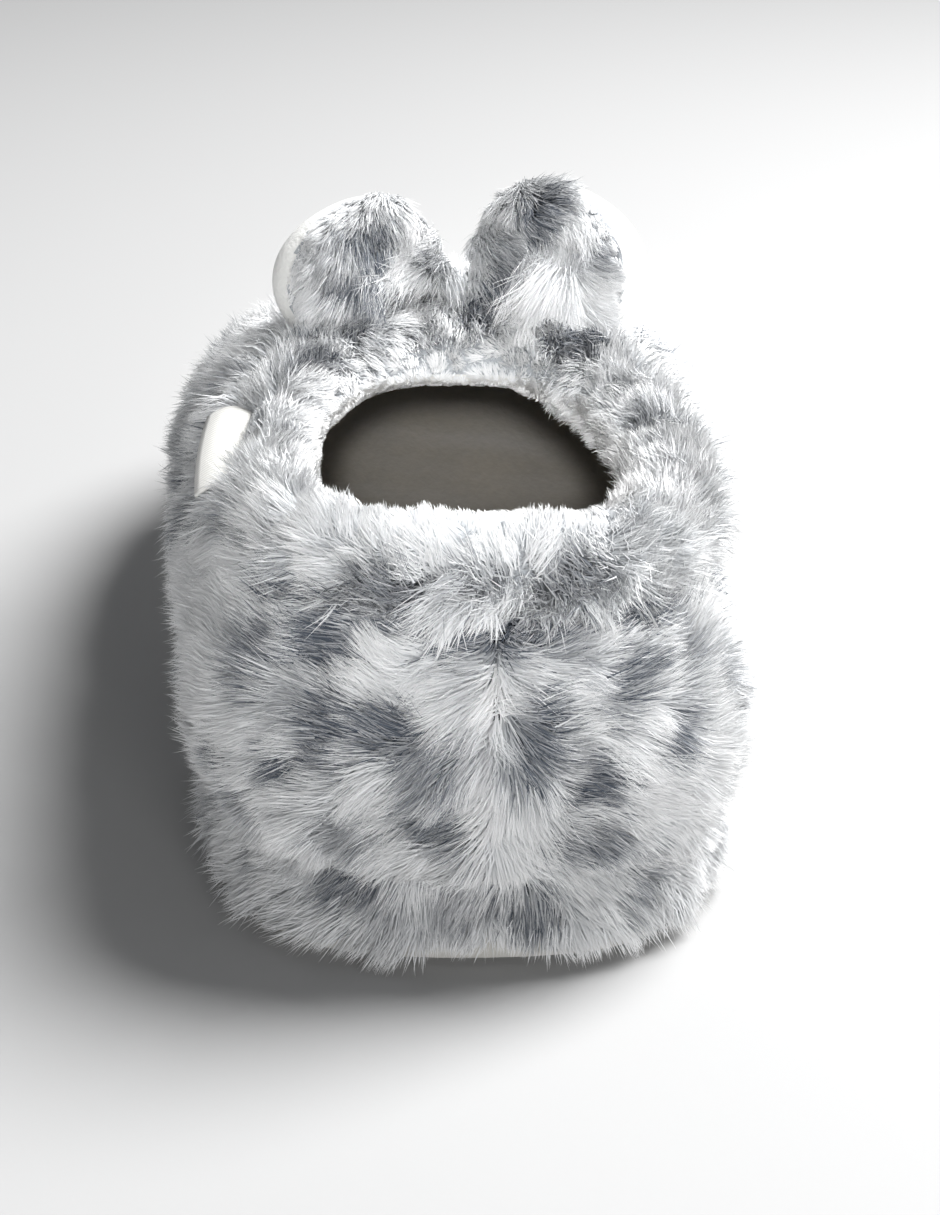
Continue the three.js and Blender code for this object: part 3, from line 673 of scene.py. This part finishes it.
def napped_material(name, colour, depth, grain_mm, mottle, sheen, stroke=1.0):
    """A short pile: fine nap in its bump, and soft patches where it was stroked one way or the other."""
    if name in bpy.data.materials:
        return bpy.data.materials[name]
    material, tree = blank(name)
    place = node(tree, "ShaderNodeTexCoord").outputs["Object"]
    place = node(tree, "ShaderNodeVectorMath", {0: place, 1: (1, stroke, 1)}, operation="MULTIPLY").outputs[0]
    nap = node(tree, "ShaderNodeTexNoise", {"Vector": place, "Scale": 1 / (grain_mm * MM), "Detail": 4.0}).outputs[0]
    patches = node(tree, "ShaderNodeTexNoise", {"Vector": place, "Scale": 55.0, "Detail": 3.0}).outputs[0]
    darker = [c * (1 - mottle) for c in colour[:3]] + [1]
    dull = [1 - mottle * 0.8] * 3 + [1]
    patch_share = node(tree, "ShaderNodeMapRange", {"Value": patches, "To Min": -0.4, "To Max": 1.4}).outputs[0]
    nap_share = node(tree, "ShaderNodeMapRange", {"Value": nap, "To Min": -0.2, "To Max": 1.2}).outputs[0]
    stroked = node(tree, "ShaderNodeMix", {0: patch_share, 6: darker, 7: list(colour)}, data_type="RGBA")
    fine = node(tree, "ShaderNodeMix", {0: nap_share, 6: dull, 7: (1, 1, 1, 1)}, data_type="RGBA")
    shaded = node(tree, "ShaderNodeMix", {0: 1.0, 6: stroked.outputs[2], 7: fine.outputs[2]}, data_type="RGBA",
                  blend_type="MULTIPLY")
    soft = node(tree, "ShaderNodeBump", {"Height": patches, "Strength": 0.35, "Distance": 0.002})
    bump = node(tree, "ShaderNodeBump",
                {"Height": nap, "Strength": 0.7, "Distance": depth * MM, "Normal": soft.outputs[0]})
    return dressed(material, {
        "Base Color": shaded.outputs[2], "Normal": bump.outputs[0], "Roughness": 0.9, "Specular IOR Level": 0.15,
        "Sheen Weight": sheen, "Sheen Roughness": 0.6,
    })


def lining_material(colours):
    return napped_material("short_pile_lining", colours.lining, 0.5, 1.1, 0.12, 0.3)


def rubber_material(colours):
    """Moulded thermoplastic rubber: off-white, matt, with the mould's pebble of 0.7 mm and dust in patches."""
    material, tree = blank("moulded_rubber")
    place = node(tree, "ShaderNodeTexCoord").outputs["Object"]
    pebble = node(tree, "ShaderNodeTexVoronoi", {"Vector": place, "Scale": 1400.0}).outputs[0]
    dust = node(tree, "ShaderNodeTexNoise", {"Vector": place, "Scale": 60.0, "Detail": 4.0}).outputs[0]
    clean = node(tree, "ShaderNodeMapRange", {"Value": dust, "To Min": -0.5, "To Max": 1.2}).outputs[0]
    body = node(tree, "ShaderNodeMix", {0: clean, 6: linear("#cfcdc7"), 7: colours.rubber}, data_type="RGBA")
    bump = node(tree, "ShaderNodeBump", {"Height": pebble, "Strength": 0.25, "Distance": 0.0003})
    return dressed(material, {
        "Base Color": body.outputs[2], "Normal": bump.outputs[0], "Roughness": 0.6,
    })


def satin_material(colours):
    """Woven polyester satin: fine warp ribs along the tab, with a soft sheen."""
    material, tree = blank("woven_satin")
    place = node(tree, "ShaderNodeTexCoord").outputs["Object"]
    # Threads are 0.15 mm apart; drawn at 0.5 mm, the finest that shows.
    ribs = node(tree, "ShaderNodeTexWave", {"Vector": place, "Scale": 320.0, "Distortion": 0.4},
                bands_direction="Y").outputs[1]
    body = node(tree, "ShaderNodeMix", {0: ribs, 6: linear("#dfded9"), 7: colours.satin}, data_type="RGBA")
    bump = node(tree, "ShaderNodeBump", {"Height": ribs, "Strength": 0.3, "Distance": 0.0002})
    return dressed(material, {
        "Base Color": body.outputs[2], "Normal": bump.outputs[0], "Roughness": 0.42, "Sheen Weight": 0.2,
    })


def floor_material(colours):
    """Seamless studio paper: nearly smooth, matt."""
    material, tree = blank("studio_paper")
    place = node(tree, "ShaderNodeTexCoord").outputs["Object"]
    tooth = node(tree, "ShaderNodeTexNoise", {"Vector": place, "Scale": 900.0, "Detail": 2.0}).outputs[0]
    darker = [c * 0.985 for c in colours.floor[:3]] + [1]
    body = node(tree, "ShaderNodeMix", {0: tooth, 6: colours.floor, 7: darker}, data_type="RGBA")
    return dressed(material, {
        "Base Color": body.outputs[2], "Roughness": 0.9, "Specular IOR Level": 0.1,
    })


# Patches


def near_heel(turns, steepness, start):
    """1 at the middle of the heel and 0 away from it, with a slope between."""
    return np.clip(np.cos(2 * np.pi * turns) * steepness - start, 0, 1)[:, None]


def held_down(points):
    """Where the plush lies under an ear, from 0 to 1."""
    held = np.zeros(points.shape[:-1])
    for name in EARS:
        turn, place = ear_matrix(name)
        local = (points - place) @ turn
        inside = ((np.abs(local[..., 0]) < EAR_WIDTH) & (local[..., 1] > -EAR_BACK + 3)
                  & (local[..., 1] < EAR_FRONT - 2) & (local[..., 2] < -4))
        held = np.maximum(held, inside)
    return held


def under_tab(points):
    return ((np.abs(points[..., 1] - TAB_MIDDLE) < TAB_LENGTH / 2 + 2) & (points[..., 0] < 0)
            & (points[..., 2] > CUFF_SIDE[0] - 16))


def side_of(turns):
    """-1 on the outer side, 1 on the inner side, changing softly over the heel's and the vamp's middles."""
    return np.clip(np.sin(2 * np.pi * turns) / 0.09, -1, 1)


def make_upper_patch():
    turns, shares = np.linspace(0, 1, 481), np.linspace(0, 1, 41)
    points = upper_grid(turns, shares, 0.0)
    patch = Patch("upper", points, turns)
    lengths = np.linalg.norm(np.diff(points, axis=1), axis=2).sum(axis=1)[:, None]
    heel = near_heel(turns, 8, 6.6)
    # Short under the heel's cuff, where the seam makes a crease, and full elsewhere.
    seam = np.minimum(np.clip(shares[None] * lengths / 9, 0.8, 1),
                      np.clip((1 - shares)[None] * lengths / 11, 1.05 - 0.7 * heel, 1.1 - 0.1 * heel))
    side = (1 - heel) * (1 - vamp_share(turns)[:, None]) * np.clip((shares[None] - 0.7) / 0.3, 0, 1)
    seam = seam * (1 + 0.55 * side) * (1 + 0.14 * wander(points, 9, 41))
    patch.pile = seam * np.where(held_down(points), HELD_PILE, 1) * np.where(under_tab(points), TAB_PILE, 1)
    front = vamp_share(turns)[:, None, None]
    lift = (shares[None, :, None] - 0.8) * 0.5 * (1 - front) ** 2
    away = patch.along * side_of(turns[:, None] + 0.006 * wander(points, 16, 33))[..., None]
    patch.comb = unit(away * (1 - 0.5 * front) + patch.rise * (lift - 0.9 * front - 0.12))
    patch.swirl(wander(points, 24, 31) * 0.55 + wander(points, 10, 32) * 0.4)
    patch.comb = unit(patch.comb)
    patch.dense = np.where(vamp_share(turns)[:, None] > 0.45, 0.55, 1.0) * np.ones_like(seam)
    # A pale ridge runs down the centre back, where the fur parts.
    off = np.minimum(turns, 1 - turns)[:, None] + 0.002 * wander(points, 12, 34)
    patch.tint = np.where((shares > 0.3) & (shares < 0.84), np.clip(0.15 + off / 0.008, 0, 1), 1)
    # Painted shade: dark spots along the crease under the heel's cuff, where shade falls.
    for i in (*range(0, 62, 10), *range(430, 481, 10)):
        patch.add_spot_or_shade(i, 38, 8.0, 3.4, 1.0)
    patch.chart()
    patch.scatter_spots((0.12, 0.36, 0.6, 0.84), 21, 8, lambda p, n: p[1] > 62 + 0.35 * abs(p[0]))
    return patch


def make_cuff_patch():
    turns, places = np.linspace(0, 1, 361), np.linspace(-0.04, 0.66, 48)
    points = cuff_at(*np.meshgrid(turns, places, indexing="ij"))
    patch = Patch("cuff", points, turns)
    front = vamp_share(turns)[:, None]
    heel = near_heel(turns, 3, 1.6)
    seam = np.clip((places[None] + 0.04) / 0.14, 0.8 - 0.45 * heel, 1)
    seam = seam * np.clip((0.6 - places) / 0.24, 0.26, 1)[None]
    over_tab = under_tab(points) & (places[None] < 0.3)
    crest = np.clip((places - 0.3) / 0.12, 0, 1)[None]
    patch.pile = seam * np.where(held_down(points), HELD_PILE, 1) * (1.0 - 0.2 * front)
    patch.pile = patch.pile * np.where(over_tab, TAB_PILE, 1)
    patch.pile = patch.pile * (1 + (0.24 + 0.2 * heel) * wander(points, 8, 43))
    patch.pile = patch.pile * (1 - crest * (0.5 * heel + 0.7 * front ** 2))
    # Longer at the foot of the sides, over the seam, and on the inner side's inside wall.
    foot = np.clip((0.15 - places) / 0.15, 0, 1)[None]
    patch.pile = patch.pile * (1 + 0.4 * (1 - heel) * (1 - front) * foot)
    wall = np.clip(np.sin(2 * np.pi * turns) * 3 - 1.2, 0, 1)[:, None] * np.clip((places - 0.42) / 0.1, 0, 1)[None]
    patch.pile = patch.pile + 0.4 * wall
    patch.tint = np.clip((0.54 - places) / 0.08, 0, 1)[None] * np.ones_like(patch.pile)
    # The heel's fur stands up over the opening, swept to the outer side; at the front it is combed to the opening.
    swept = -0.4 * (1 - front) ** 3 - 0.35 * front ** 4
    lifted = (0.28 * heel - 0.4 + 0.7 * np.clip((places - 0.03) / 0.45, 0, 1)[None]) * (1 - front)
    lifted = lifted + (-0.6 + 1.4 * np.clip((places - 0.02) / 0.2, 0, 1))[None] * front
    lifted = np.where(places[None] > 0.5, -0.5, lifted) + over_tab
    patch.comb = patch.along * swept[..., None] + patch.rise * lifted[..., None]
    patch.swirl(wander(points, 20, 71) * 0.5)
    # Painted shade: dark spots along the cuff's foot at the heel, in the crease over the seam.
    for i in (3, 14, 27, 38, 322, 334, 345, 353):
        patch.add_spot_or_shade(i, 7, 5.5, 2.8, 0.9)
    patch.chart()
    return patch


def make_platform_patch():
    turns, shares = np.linspace(0, 1, 481), np.linspace(0, 1, 11)
    grow = PLATFORM_CROWN * np.sin(np.pi * shares) - PLATFORM_INSET
    t, g = np.meshgrid(turns, grow, indexing="ij")
    points = outline_at(t, g, (PLATFORM_FOOT + PLATFORM_HEIGHT * shares)[None, :] + 0 * t)
    patch = Patch("platform", points, turns)
    heel = near_heel(turns, 70, 68.8)
    patch.pile = (np.clip((1 - shares) * PLATFORM_HEIGHT / 9, 0.75, 1.05)[None]
                  * (1 - 0.4 * heel * (1 - shares)[None]) * (1 + 0.15 * wander(points, 8, 44)))
    patch.comb = unit(patch.along * side_of(turns)[:, None, None] * 0.5 - patch.rise * 0.75)
    patch.swirl(wander(points, 22, 91) * 0.5)
    patch.comb = unit(patch.comb)
    patch.dense = np.where(vamp_share(turns)[:, None] > 0.4, 0.6, 1.0) * np.ones((1, 11))
    patch.chart()
    patch.scatter_spots((0.5,), 24, 9, lambda p, n: p[1] > 45)
    return patch


def fleece_reach(name, turn):
    """How far the front's fleece comes over the rim onto the back, as a share; most on the outer, upper side."""
    middle = 0.14 if EARS[name][0] < 0 else 0.86
    most = 0.36 if EARS[name][0] < 0 else 0.5
    return 0.05 + most * np.clip(np.cos(2 * np.pi * (turn - middle)), 0, 1)


def make_ear_patch(name):
    turns, shares = np.linspace(0, 1, 121), np.linspace(0, 1, 21)
    t, s = np.meshgrid(turns, shares, indexing="ij")
    start = fleece_reach(name, t)
    s = 0.97 * s
    turn, place = ear_matrix(name)
    points = clear_of_plush(ear_dome(-t, s, -EAR_BACK) @ turn.T + place)
    patch = Patch(name, points, turns)
    low = 0.72 * np.clip(-np.cos(2 * np.pi * t), 0, 1)
    patch.pile = np.clip((s - start + 0.04 * wander(points, 6, 61)) / 0.26, 0.16, 1) * (0.66 + low)
    patch.pile = patch.pile * (1 + 0.2 * wander(points, 7, 45))
    patch.tint = np.clip((s - start) / 0.12, 0, 1)
    patch.dense = np.clip((s - start + 0.03 * wander(points, 5, 62)) / 0.08 + 0.5, 0, 1)
    side = EARS[name][0]
    fall = turn @ np.array((side * 0.8, -0.1, -0.55))
    patch.comb = unit(fall - patch.normal * (patch.normal @ fall)[..., None])
    patch.swirl(wander(points, 14, 51) * 0.7)
    patch.comb = unit(patch.comb)
    patch.chart()
    return patch


# Least distance of an ear's back from the cuff and the upper, for the pile held down between them.
PLUSH_CLEARANCE = 3.0
HELD_SURFACE = {}


def clear_of_plush(points):
    """Moves points out of the cuff and the upper, and of the pile that lies held down there."""
    if not HELD_SURFACE:
        turns = np.linspace(0.3, 0.7, 161)
        ring = cuff_at(*np.meshgrid(turns, np.linspace(0, 1, 49), indexing="ij"))
        body = upper_grid(turns, np.linspace(0.4, 1, 41), 0.0)
        for key, grid in (("ring", ring), ("body", body)):
            normal = unit(np.cross(np.gradient(grid, axis=0), np.gradient(grid, axis=1)))
            HELD_SURFACE[key] = (grid.reshape(-1, 3), normal.reshape(-1, 3))
    flat = points.reshape(-1, 3).copy()
    for _ in range(3):
        for places, normals in HELD_SURFACE.values():
            own = nearest(flat, places)
            out = np.einsum("ij,ij->i", flat - places[own], normals[own])
            near = np.linalg.norm(flat - places[own], axis=1) < 26
            push = np.where(near, np.clip(PLUSH_CLEARANCE - out, 0, None), 0)
            flat += normals[own] * push[:, None]
    return flat.reshape(points.shape)


def to_spine(ring, share, height):
    """A ring drawn in towards the sole's middle line."""
    spine = np.stack([ring[:, 0] * 0.1, np.clip(ring[:, 1], 48, 205), np.full(len(ring), height)], axis=1)
    line = ring + (spine - ring) * share
    line[:, 2] = height
    return line


# Operators


class SlipperPiece:
    """What every operator here shares."""

    bl_options = {"REGISTER"}

    @property
    def sizes(self):
        return bpy.context.scene.slipper_sizes

    @property
    def colours(self):
        return bpy.context.scene.slipper_colours


class SLIPPER_OT_stage(SlipperPiece, bpy.types.Operator):
    """Pale floor, soft light from the right and the photograph's camera"""

    bl_idname = "slipper.stage"
    bl_label = "Stage"

    def execute(self, context):
        bm = bmesh.new()
        bmesh.ops.create_grid(bm, x_segments=1, y_segments=1, size=4.0)
        floor = bpy.data.objects.new("floor", mesh_from(bm, "floor"))
        context.scene.collection.objects.link(floor)
        floor.data.materials.append(floor_material(self.colours))

        world = bpy.data.worlds.new("studio")
        context.scene.world = world
        world.use_nodes = True
        world.node_tree.nodes["Background"].inputs["Color"].default_value = linear("#f4f7fb")
        world.node_tree.nodes["Background"].inputs["Strength"].default_value = 0.13
        heel = (0.0, -0.03, 0.03)
        self.lamp("key", "AREA", (0.66, 0.14, 1.07), heel, shape="DISK", size=0.74, energy=34.5)
        self.lamp("fill", "AREA", (0.1, -1.3, 0.4), heel, shape="DISK", size=0.8, energy=5.8)
        # A narrow lamp down into the collar.
        self.lamp("snoot", "SPOT", (-0.07, -1.0, 0.52), (0.006, 0.002, 0.054), spot_size=math.radians(6),
                  spot_blend=0.7, shadow_soft_size=0.06, energy=68.0)
        self.camera(context)
        context.scene.view_settings.view_transform = "Standard"
        return {"FINISHED"}

    def lamp(self, name, kind, place, aim, **settings):
        light = bpy.data.lights.new(name, kind)
        for key, value in settings.items():
            setattr(light, key, value)
        lamp = bpy.data.objects.new(name, light)
        lamp.location = place
        lamp.rotation_euler = (Vector(aim) - Vector(place)).to_track_quat("-Z", "Y").to_euler()
        bpy.context.scene.collection.objects.link(lamp)

    def camera(self, context):
        back, right, up = camera_axes()
        lens = bpy.data.cameras.new("camera")
        lens.sensor_width = 36.0
        lens.lens = FOCAL_PIXELS * 36.0 / FRAME_HEIGHT
        lens.shift_x, lens.shift_y = -FRAME_OFFSET[0] / FRAME_HEIGHT, FRAME_OFFSET[1] / FRAME_HEIGHT
        camera = bpy.data.objects.new("camera", lens)
        turn = Matrix((right, up, back)).transposed().to_4x4()
        place = (np.array(CAMERA_TARGET) + back * CAMERA_DISTANCE) * MM
        camera.matrix_world = Matrix.Translation(place) @ turn
        context.scene.collection.objects.link(camera)
        context.scene.camera = camera


class SLIPPER_OT_sole(SlipperPiece, bpy.types.Operator):
    """Moulded outsole, and the platform in its plush wrap"""

    bl_idname = "slipper.sole"
    bl_label = "Sole and platform"

    def execute(self, context):
        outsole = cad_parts["outsole"]
        outsole.data.materials.clear()
        outsole.data.materials.append(rubber_material(self.colours))
        patch = make_platform_patch()
        rings = [to_spine(patch.points[:, 0], share, PLATFORM_FOOT) for share in (1.0, 0.5)]
        rings += [patch.points[:, j] for j in range(patch.points.shape[1])]
        rings += [to_spine(patch.points[:, -1], share, PLATFORM_TOP) for share in (0.5, 1.0)]
        grid = np.stack(rings, axis=1)
        spot = patch.spot(grid)
        wrap = skin("platform_wrap", grid, False, [backing_material(self.colours)], attribute=spot)
        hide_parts("platform")
        for number, window in enumerate(HALVES):
            grow_fur(f"platform_fur_{number}", patch, window, self.sizes, self.colours, 40 + number)
        return {"FINISHED"}


def between(start, end):
    """A window of turns, which may pass the heel at 0."""
    return lambda turns: (((turns - start) % 1) < (end - start)).astype(float)


HALVES = (between(-0.25, 0.25), between(0.25, 0.75))


class SLIPPER_OT_upper(SlipperPiece, bpy.types.Operator):
    """Plush upper with its white lining"""

    bl_idname = "slipper.upper"
    bl_label = "Upper"

    def execute(self, context):
        patch = make_upper_patch()
        inner = upper_grid(patch.columns, np.linspace(1, 0, 21), UPPER_WALL)
        grid = np.concatenate([patch.points[::2], inner[::2], patch.points[::2, :1]], axis=1)
        spot = np.concatenate([patch.spot(patch.points[::2]), np.zeros((241, 22))], axis=1)
        lining = lining_material(self.colours)
        shell = skin("upper_shell", grid, True, [backing_material(self.colours), lining],
                     lambda i, j: int(j >= 40), spot)
        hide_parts("upper")
        for number, window in enumerate((between(-0.09, 0), between(0, 0.09), between(0.09, 0.25),
                                         between(0.25, 0.5), between(0.5, 0.75), between(0.75, 0.91))):
            grow_fur(f"upper_fur_{number}", patch, window, self.sizes, self.colours, 20 + number,
                     share=1.5 if number < 2 else 0.95)
        return {"FINISHED"}


class SLIPPER_OT_cuff(SlipperPiece, bpy.types.Operator):
    """Padded cuff, furry outside and lined inside"""

    bl_idname = "slipper.cuff"
    bl_label = "Cuff"

    def execute(self, context):
        patch = make_cuff_patch()
        turns = np.linspace(0, 1, 241)
        t, p = np.meshgrid(turns, np.linspace(0, 1, 49), indexing="ij")
        grid = cuff_at(t, p)
        grid[-1] = grid[0]
        lining = lining_material(self.colours)
        ring = skin("cuff_padding", grid, True, [backing_material(self.colours), lining],
                    lambda i, j: int(j >= 23), patch.spot(grid))
        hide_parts("collar_cuff")
        for number, window in enumerate(HALVES):
            grow_fur(f"cuff_fur_{number}", patch, window, self.sizes, self.colours, 60 + number, share=1.1, pile=0.86)
        return {"FINISHED"}


class SLIPPER_OT_insole(SlipperPiece, bpy.types.Operator):
    """Footbed with its brushed cover"""

    bl_idname = "slipper.insole"
    bl_label = "Footbed"

    def execute(self, context):
        turns = np.linspace(0, 1, 181)
        edge = -UPPER_INSET - UPPER_WALL - GAP
        foot, top = UPPER_FOOT, UPPER_FOOT + INSOLE_HEIGHT
        low = outline_at(turns, edge, foot)
        rings = [to_spine(low, share, foot) for share in (1.0, 0.5)]
        rings += [low, outline_at(turns, edge, top - 1.6 * INSOLE_BEVEL), outline_at(turns, edge - 0.5, top - 0.5)]
        shoulder = outline_at(turns, edge - 1.6 * INSOLE_BEVEL, top)
        for share in np.linspace(0, 1, 19):
            ring = to_spine(shoulder, share, top)
            ring[:, 2] += 0.5 * math.sin(share * math.pi / 2) + wander(ring, 30, 3) * 0.35 * share
            rings.append(ring)
        grid = np.stack(rings, axis=1)
        grid[-1] = grid[0]
        cover = napped_material("brushed_footbed", self.colours.footbed, 0.35, 1.6, 0.3, 0.35, 0.4)
        bed = skin("footbed", grid, False, [cover])
        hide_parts("insole")
        return {"FINISHED"}


class SLIPPER_OT_ears(SlipperPiece, bpy.types.Operator):
    """Two stuffed ears, furry behind and smooth in front"""

    bl_idname = "slipper.ears"
    bl_label = "Ears"

    def execute(self, context):
        fleece = napped_material("smooth_fleece", self.colours.fleece, 0.4, 0.8, 0.08, 0.4)
        for number, name in enumerate(EARS):
            turn, place = ear_matrix(name)
            turns = np.linspace(0, 1, 97)
            t, s = np.meshgrid(turns, np.linspace(-1, 1, 41), indexing="ij")
            local = ear_dome(-t, np.abs(s), np.where(s < 0, -EAR_BACK, EAR_FRONT))
            grid = clear_of_plush(local @ turn.T + place)
            patch = make_ear_patch(name)
            body = skin(f"{name}_stuffing", grid, False, [backing_material(self.colours), fleece],
                        lambda i, j: int(s[i, j] > -fleece_reach(name, turns[i])), patch.spot(grid))
            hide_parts(name)
            grow_fur(f"{name}_fur", patch, between(0, 1.01), self.sizes, self.colours, 80 + number, share=2.6,
                     width=0.72, tufts=0.6)
        return {"FINISHED"}


class SLIPPER_OT_tab(SlipperPiece, bpy.types.Operator):
    """Bare satin tab in the collar seam"""

    bl_idname = "slipper.tab"
    bl_label = "Side tab"

    def execute(self, context):
        ys = TAB_MIDDLE + np.linspace(0.5, -0.5, 29) * TAB_LENGTH
        turns = 1 - np.arccos(power((CUFF_MIDDLE - ys) / CUFF_LENGTH, CUFF_FULLNESS / 2)) / (2 * np.pi)
        away = unit(cuff_frame(turns)[1] * (1, 1, 0))
        seam = upper_grid(turns, np.array((1.0,)), -0.6)[:, 0]
        rows = []
        for share in np.linspace(0, 1, 9):
            fall = TAB_FALL * share ** 1.5 - 1.6 * math.sin(math.pi * share)
            rows.append(seam + away * (TAB_REACH * share) - np.array((0, 0, fall)))
        grid = np.stack(rows, axis=1)
        bm = bmesh.new()
        bmesh.ops.create_grid(bm, x_segments=28, y_segments=8, size=0.5)
        for vertex in bm.verts:
            i, j = round((vertex.co.x + 0.5) * 28), round((vertex.co.y + 0.5) * 8)
            vertex.co = (grid[i, j] + SHIFT) * MM
        bmesh.ops.recalc_face_normals(bm, faces=bm.faces)
        for face in bm.faces:
            face.smooth = True
        bmesh.ops.solidify(bm, geom=bm.faces[:], thickness=0.0006)
        bmesh.ops.recalc_face_normals(bm, faces=bm.faces)
        tab = link("satin_tab", mesh_from(bm, "satin_tab"), [satin_material(self.colours)])
        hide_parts("side_tab")
        return {"FINISHED"}


class SLIPPER_PT_sidebar(bpy.types.Panel):
    """Lists the slipper's operators and their values"""

    bl_idname = "SLIPPER_PT_sidebar"
    bl_label = "House slipper"
    bl_space_type = "VIEW_3D"
    bl_region_type = "UI"
    bl_category = "Slipper"

    def draw(self, context):
        for operator in OPERATORS:
            self.layout.operator(operator.bl_idname)
        for group in (context.scene.slipper_sizes, context.scene.slipper_colours):
            for key in group.__annotations__:
                self.layout.prop(group, key)


OPERATORS = (SLIPPER_OT_stage, SLIPPER_OT_sole, SLIPPER_OT_upper, SLIPPER_OT_cuff, SLIPPER_OT_insole,
             SLIPPER_OT_ears, SLIPPER_OT_tab)
CLASSES = (SlipperSizes, SlipperColours, *OPERATORS, SLIPPER_PT_sidebar)


def register():
    for cls in CLASSES:
        bpy.utils.register_class(cls)
    bpy.types.Scene.slipper_sizes = bpy.props.PointerProperty(type=SlipperSizes)
    bpy.types.Scene.slipper_colours = bpy.props.PointerProperty(type=SlipperColours)


def unregister():
    del bpy.types.Scene.slipper_colours
    del bpy.types.Scene.slipper_sizes
    for cls in reversed(CLASSES):
        bpy.utils.unregister_class(cls)


def main():
    register()
    bpy.ops.slipper.stage()
    bpy.ops.slipper.sole()
    bpy.ops.slipper.upper()
    bpy.ops.slipper.cuff()
    bpy.ops.slipper.insole()
    bpy.ops.slipper.ears()
    bpy.ops.slipper.tab()


if __name__ == "__main__":
    main()
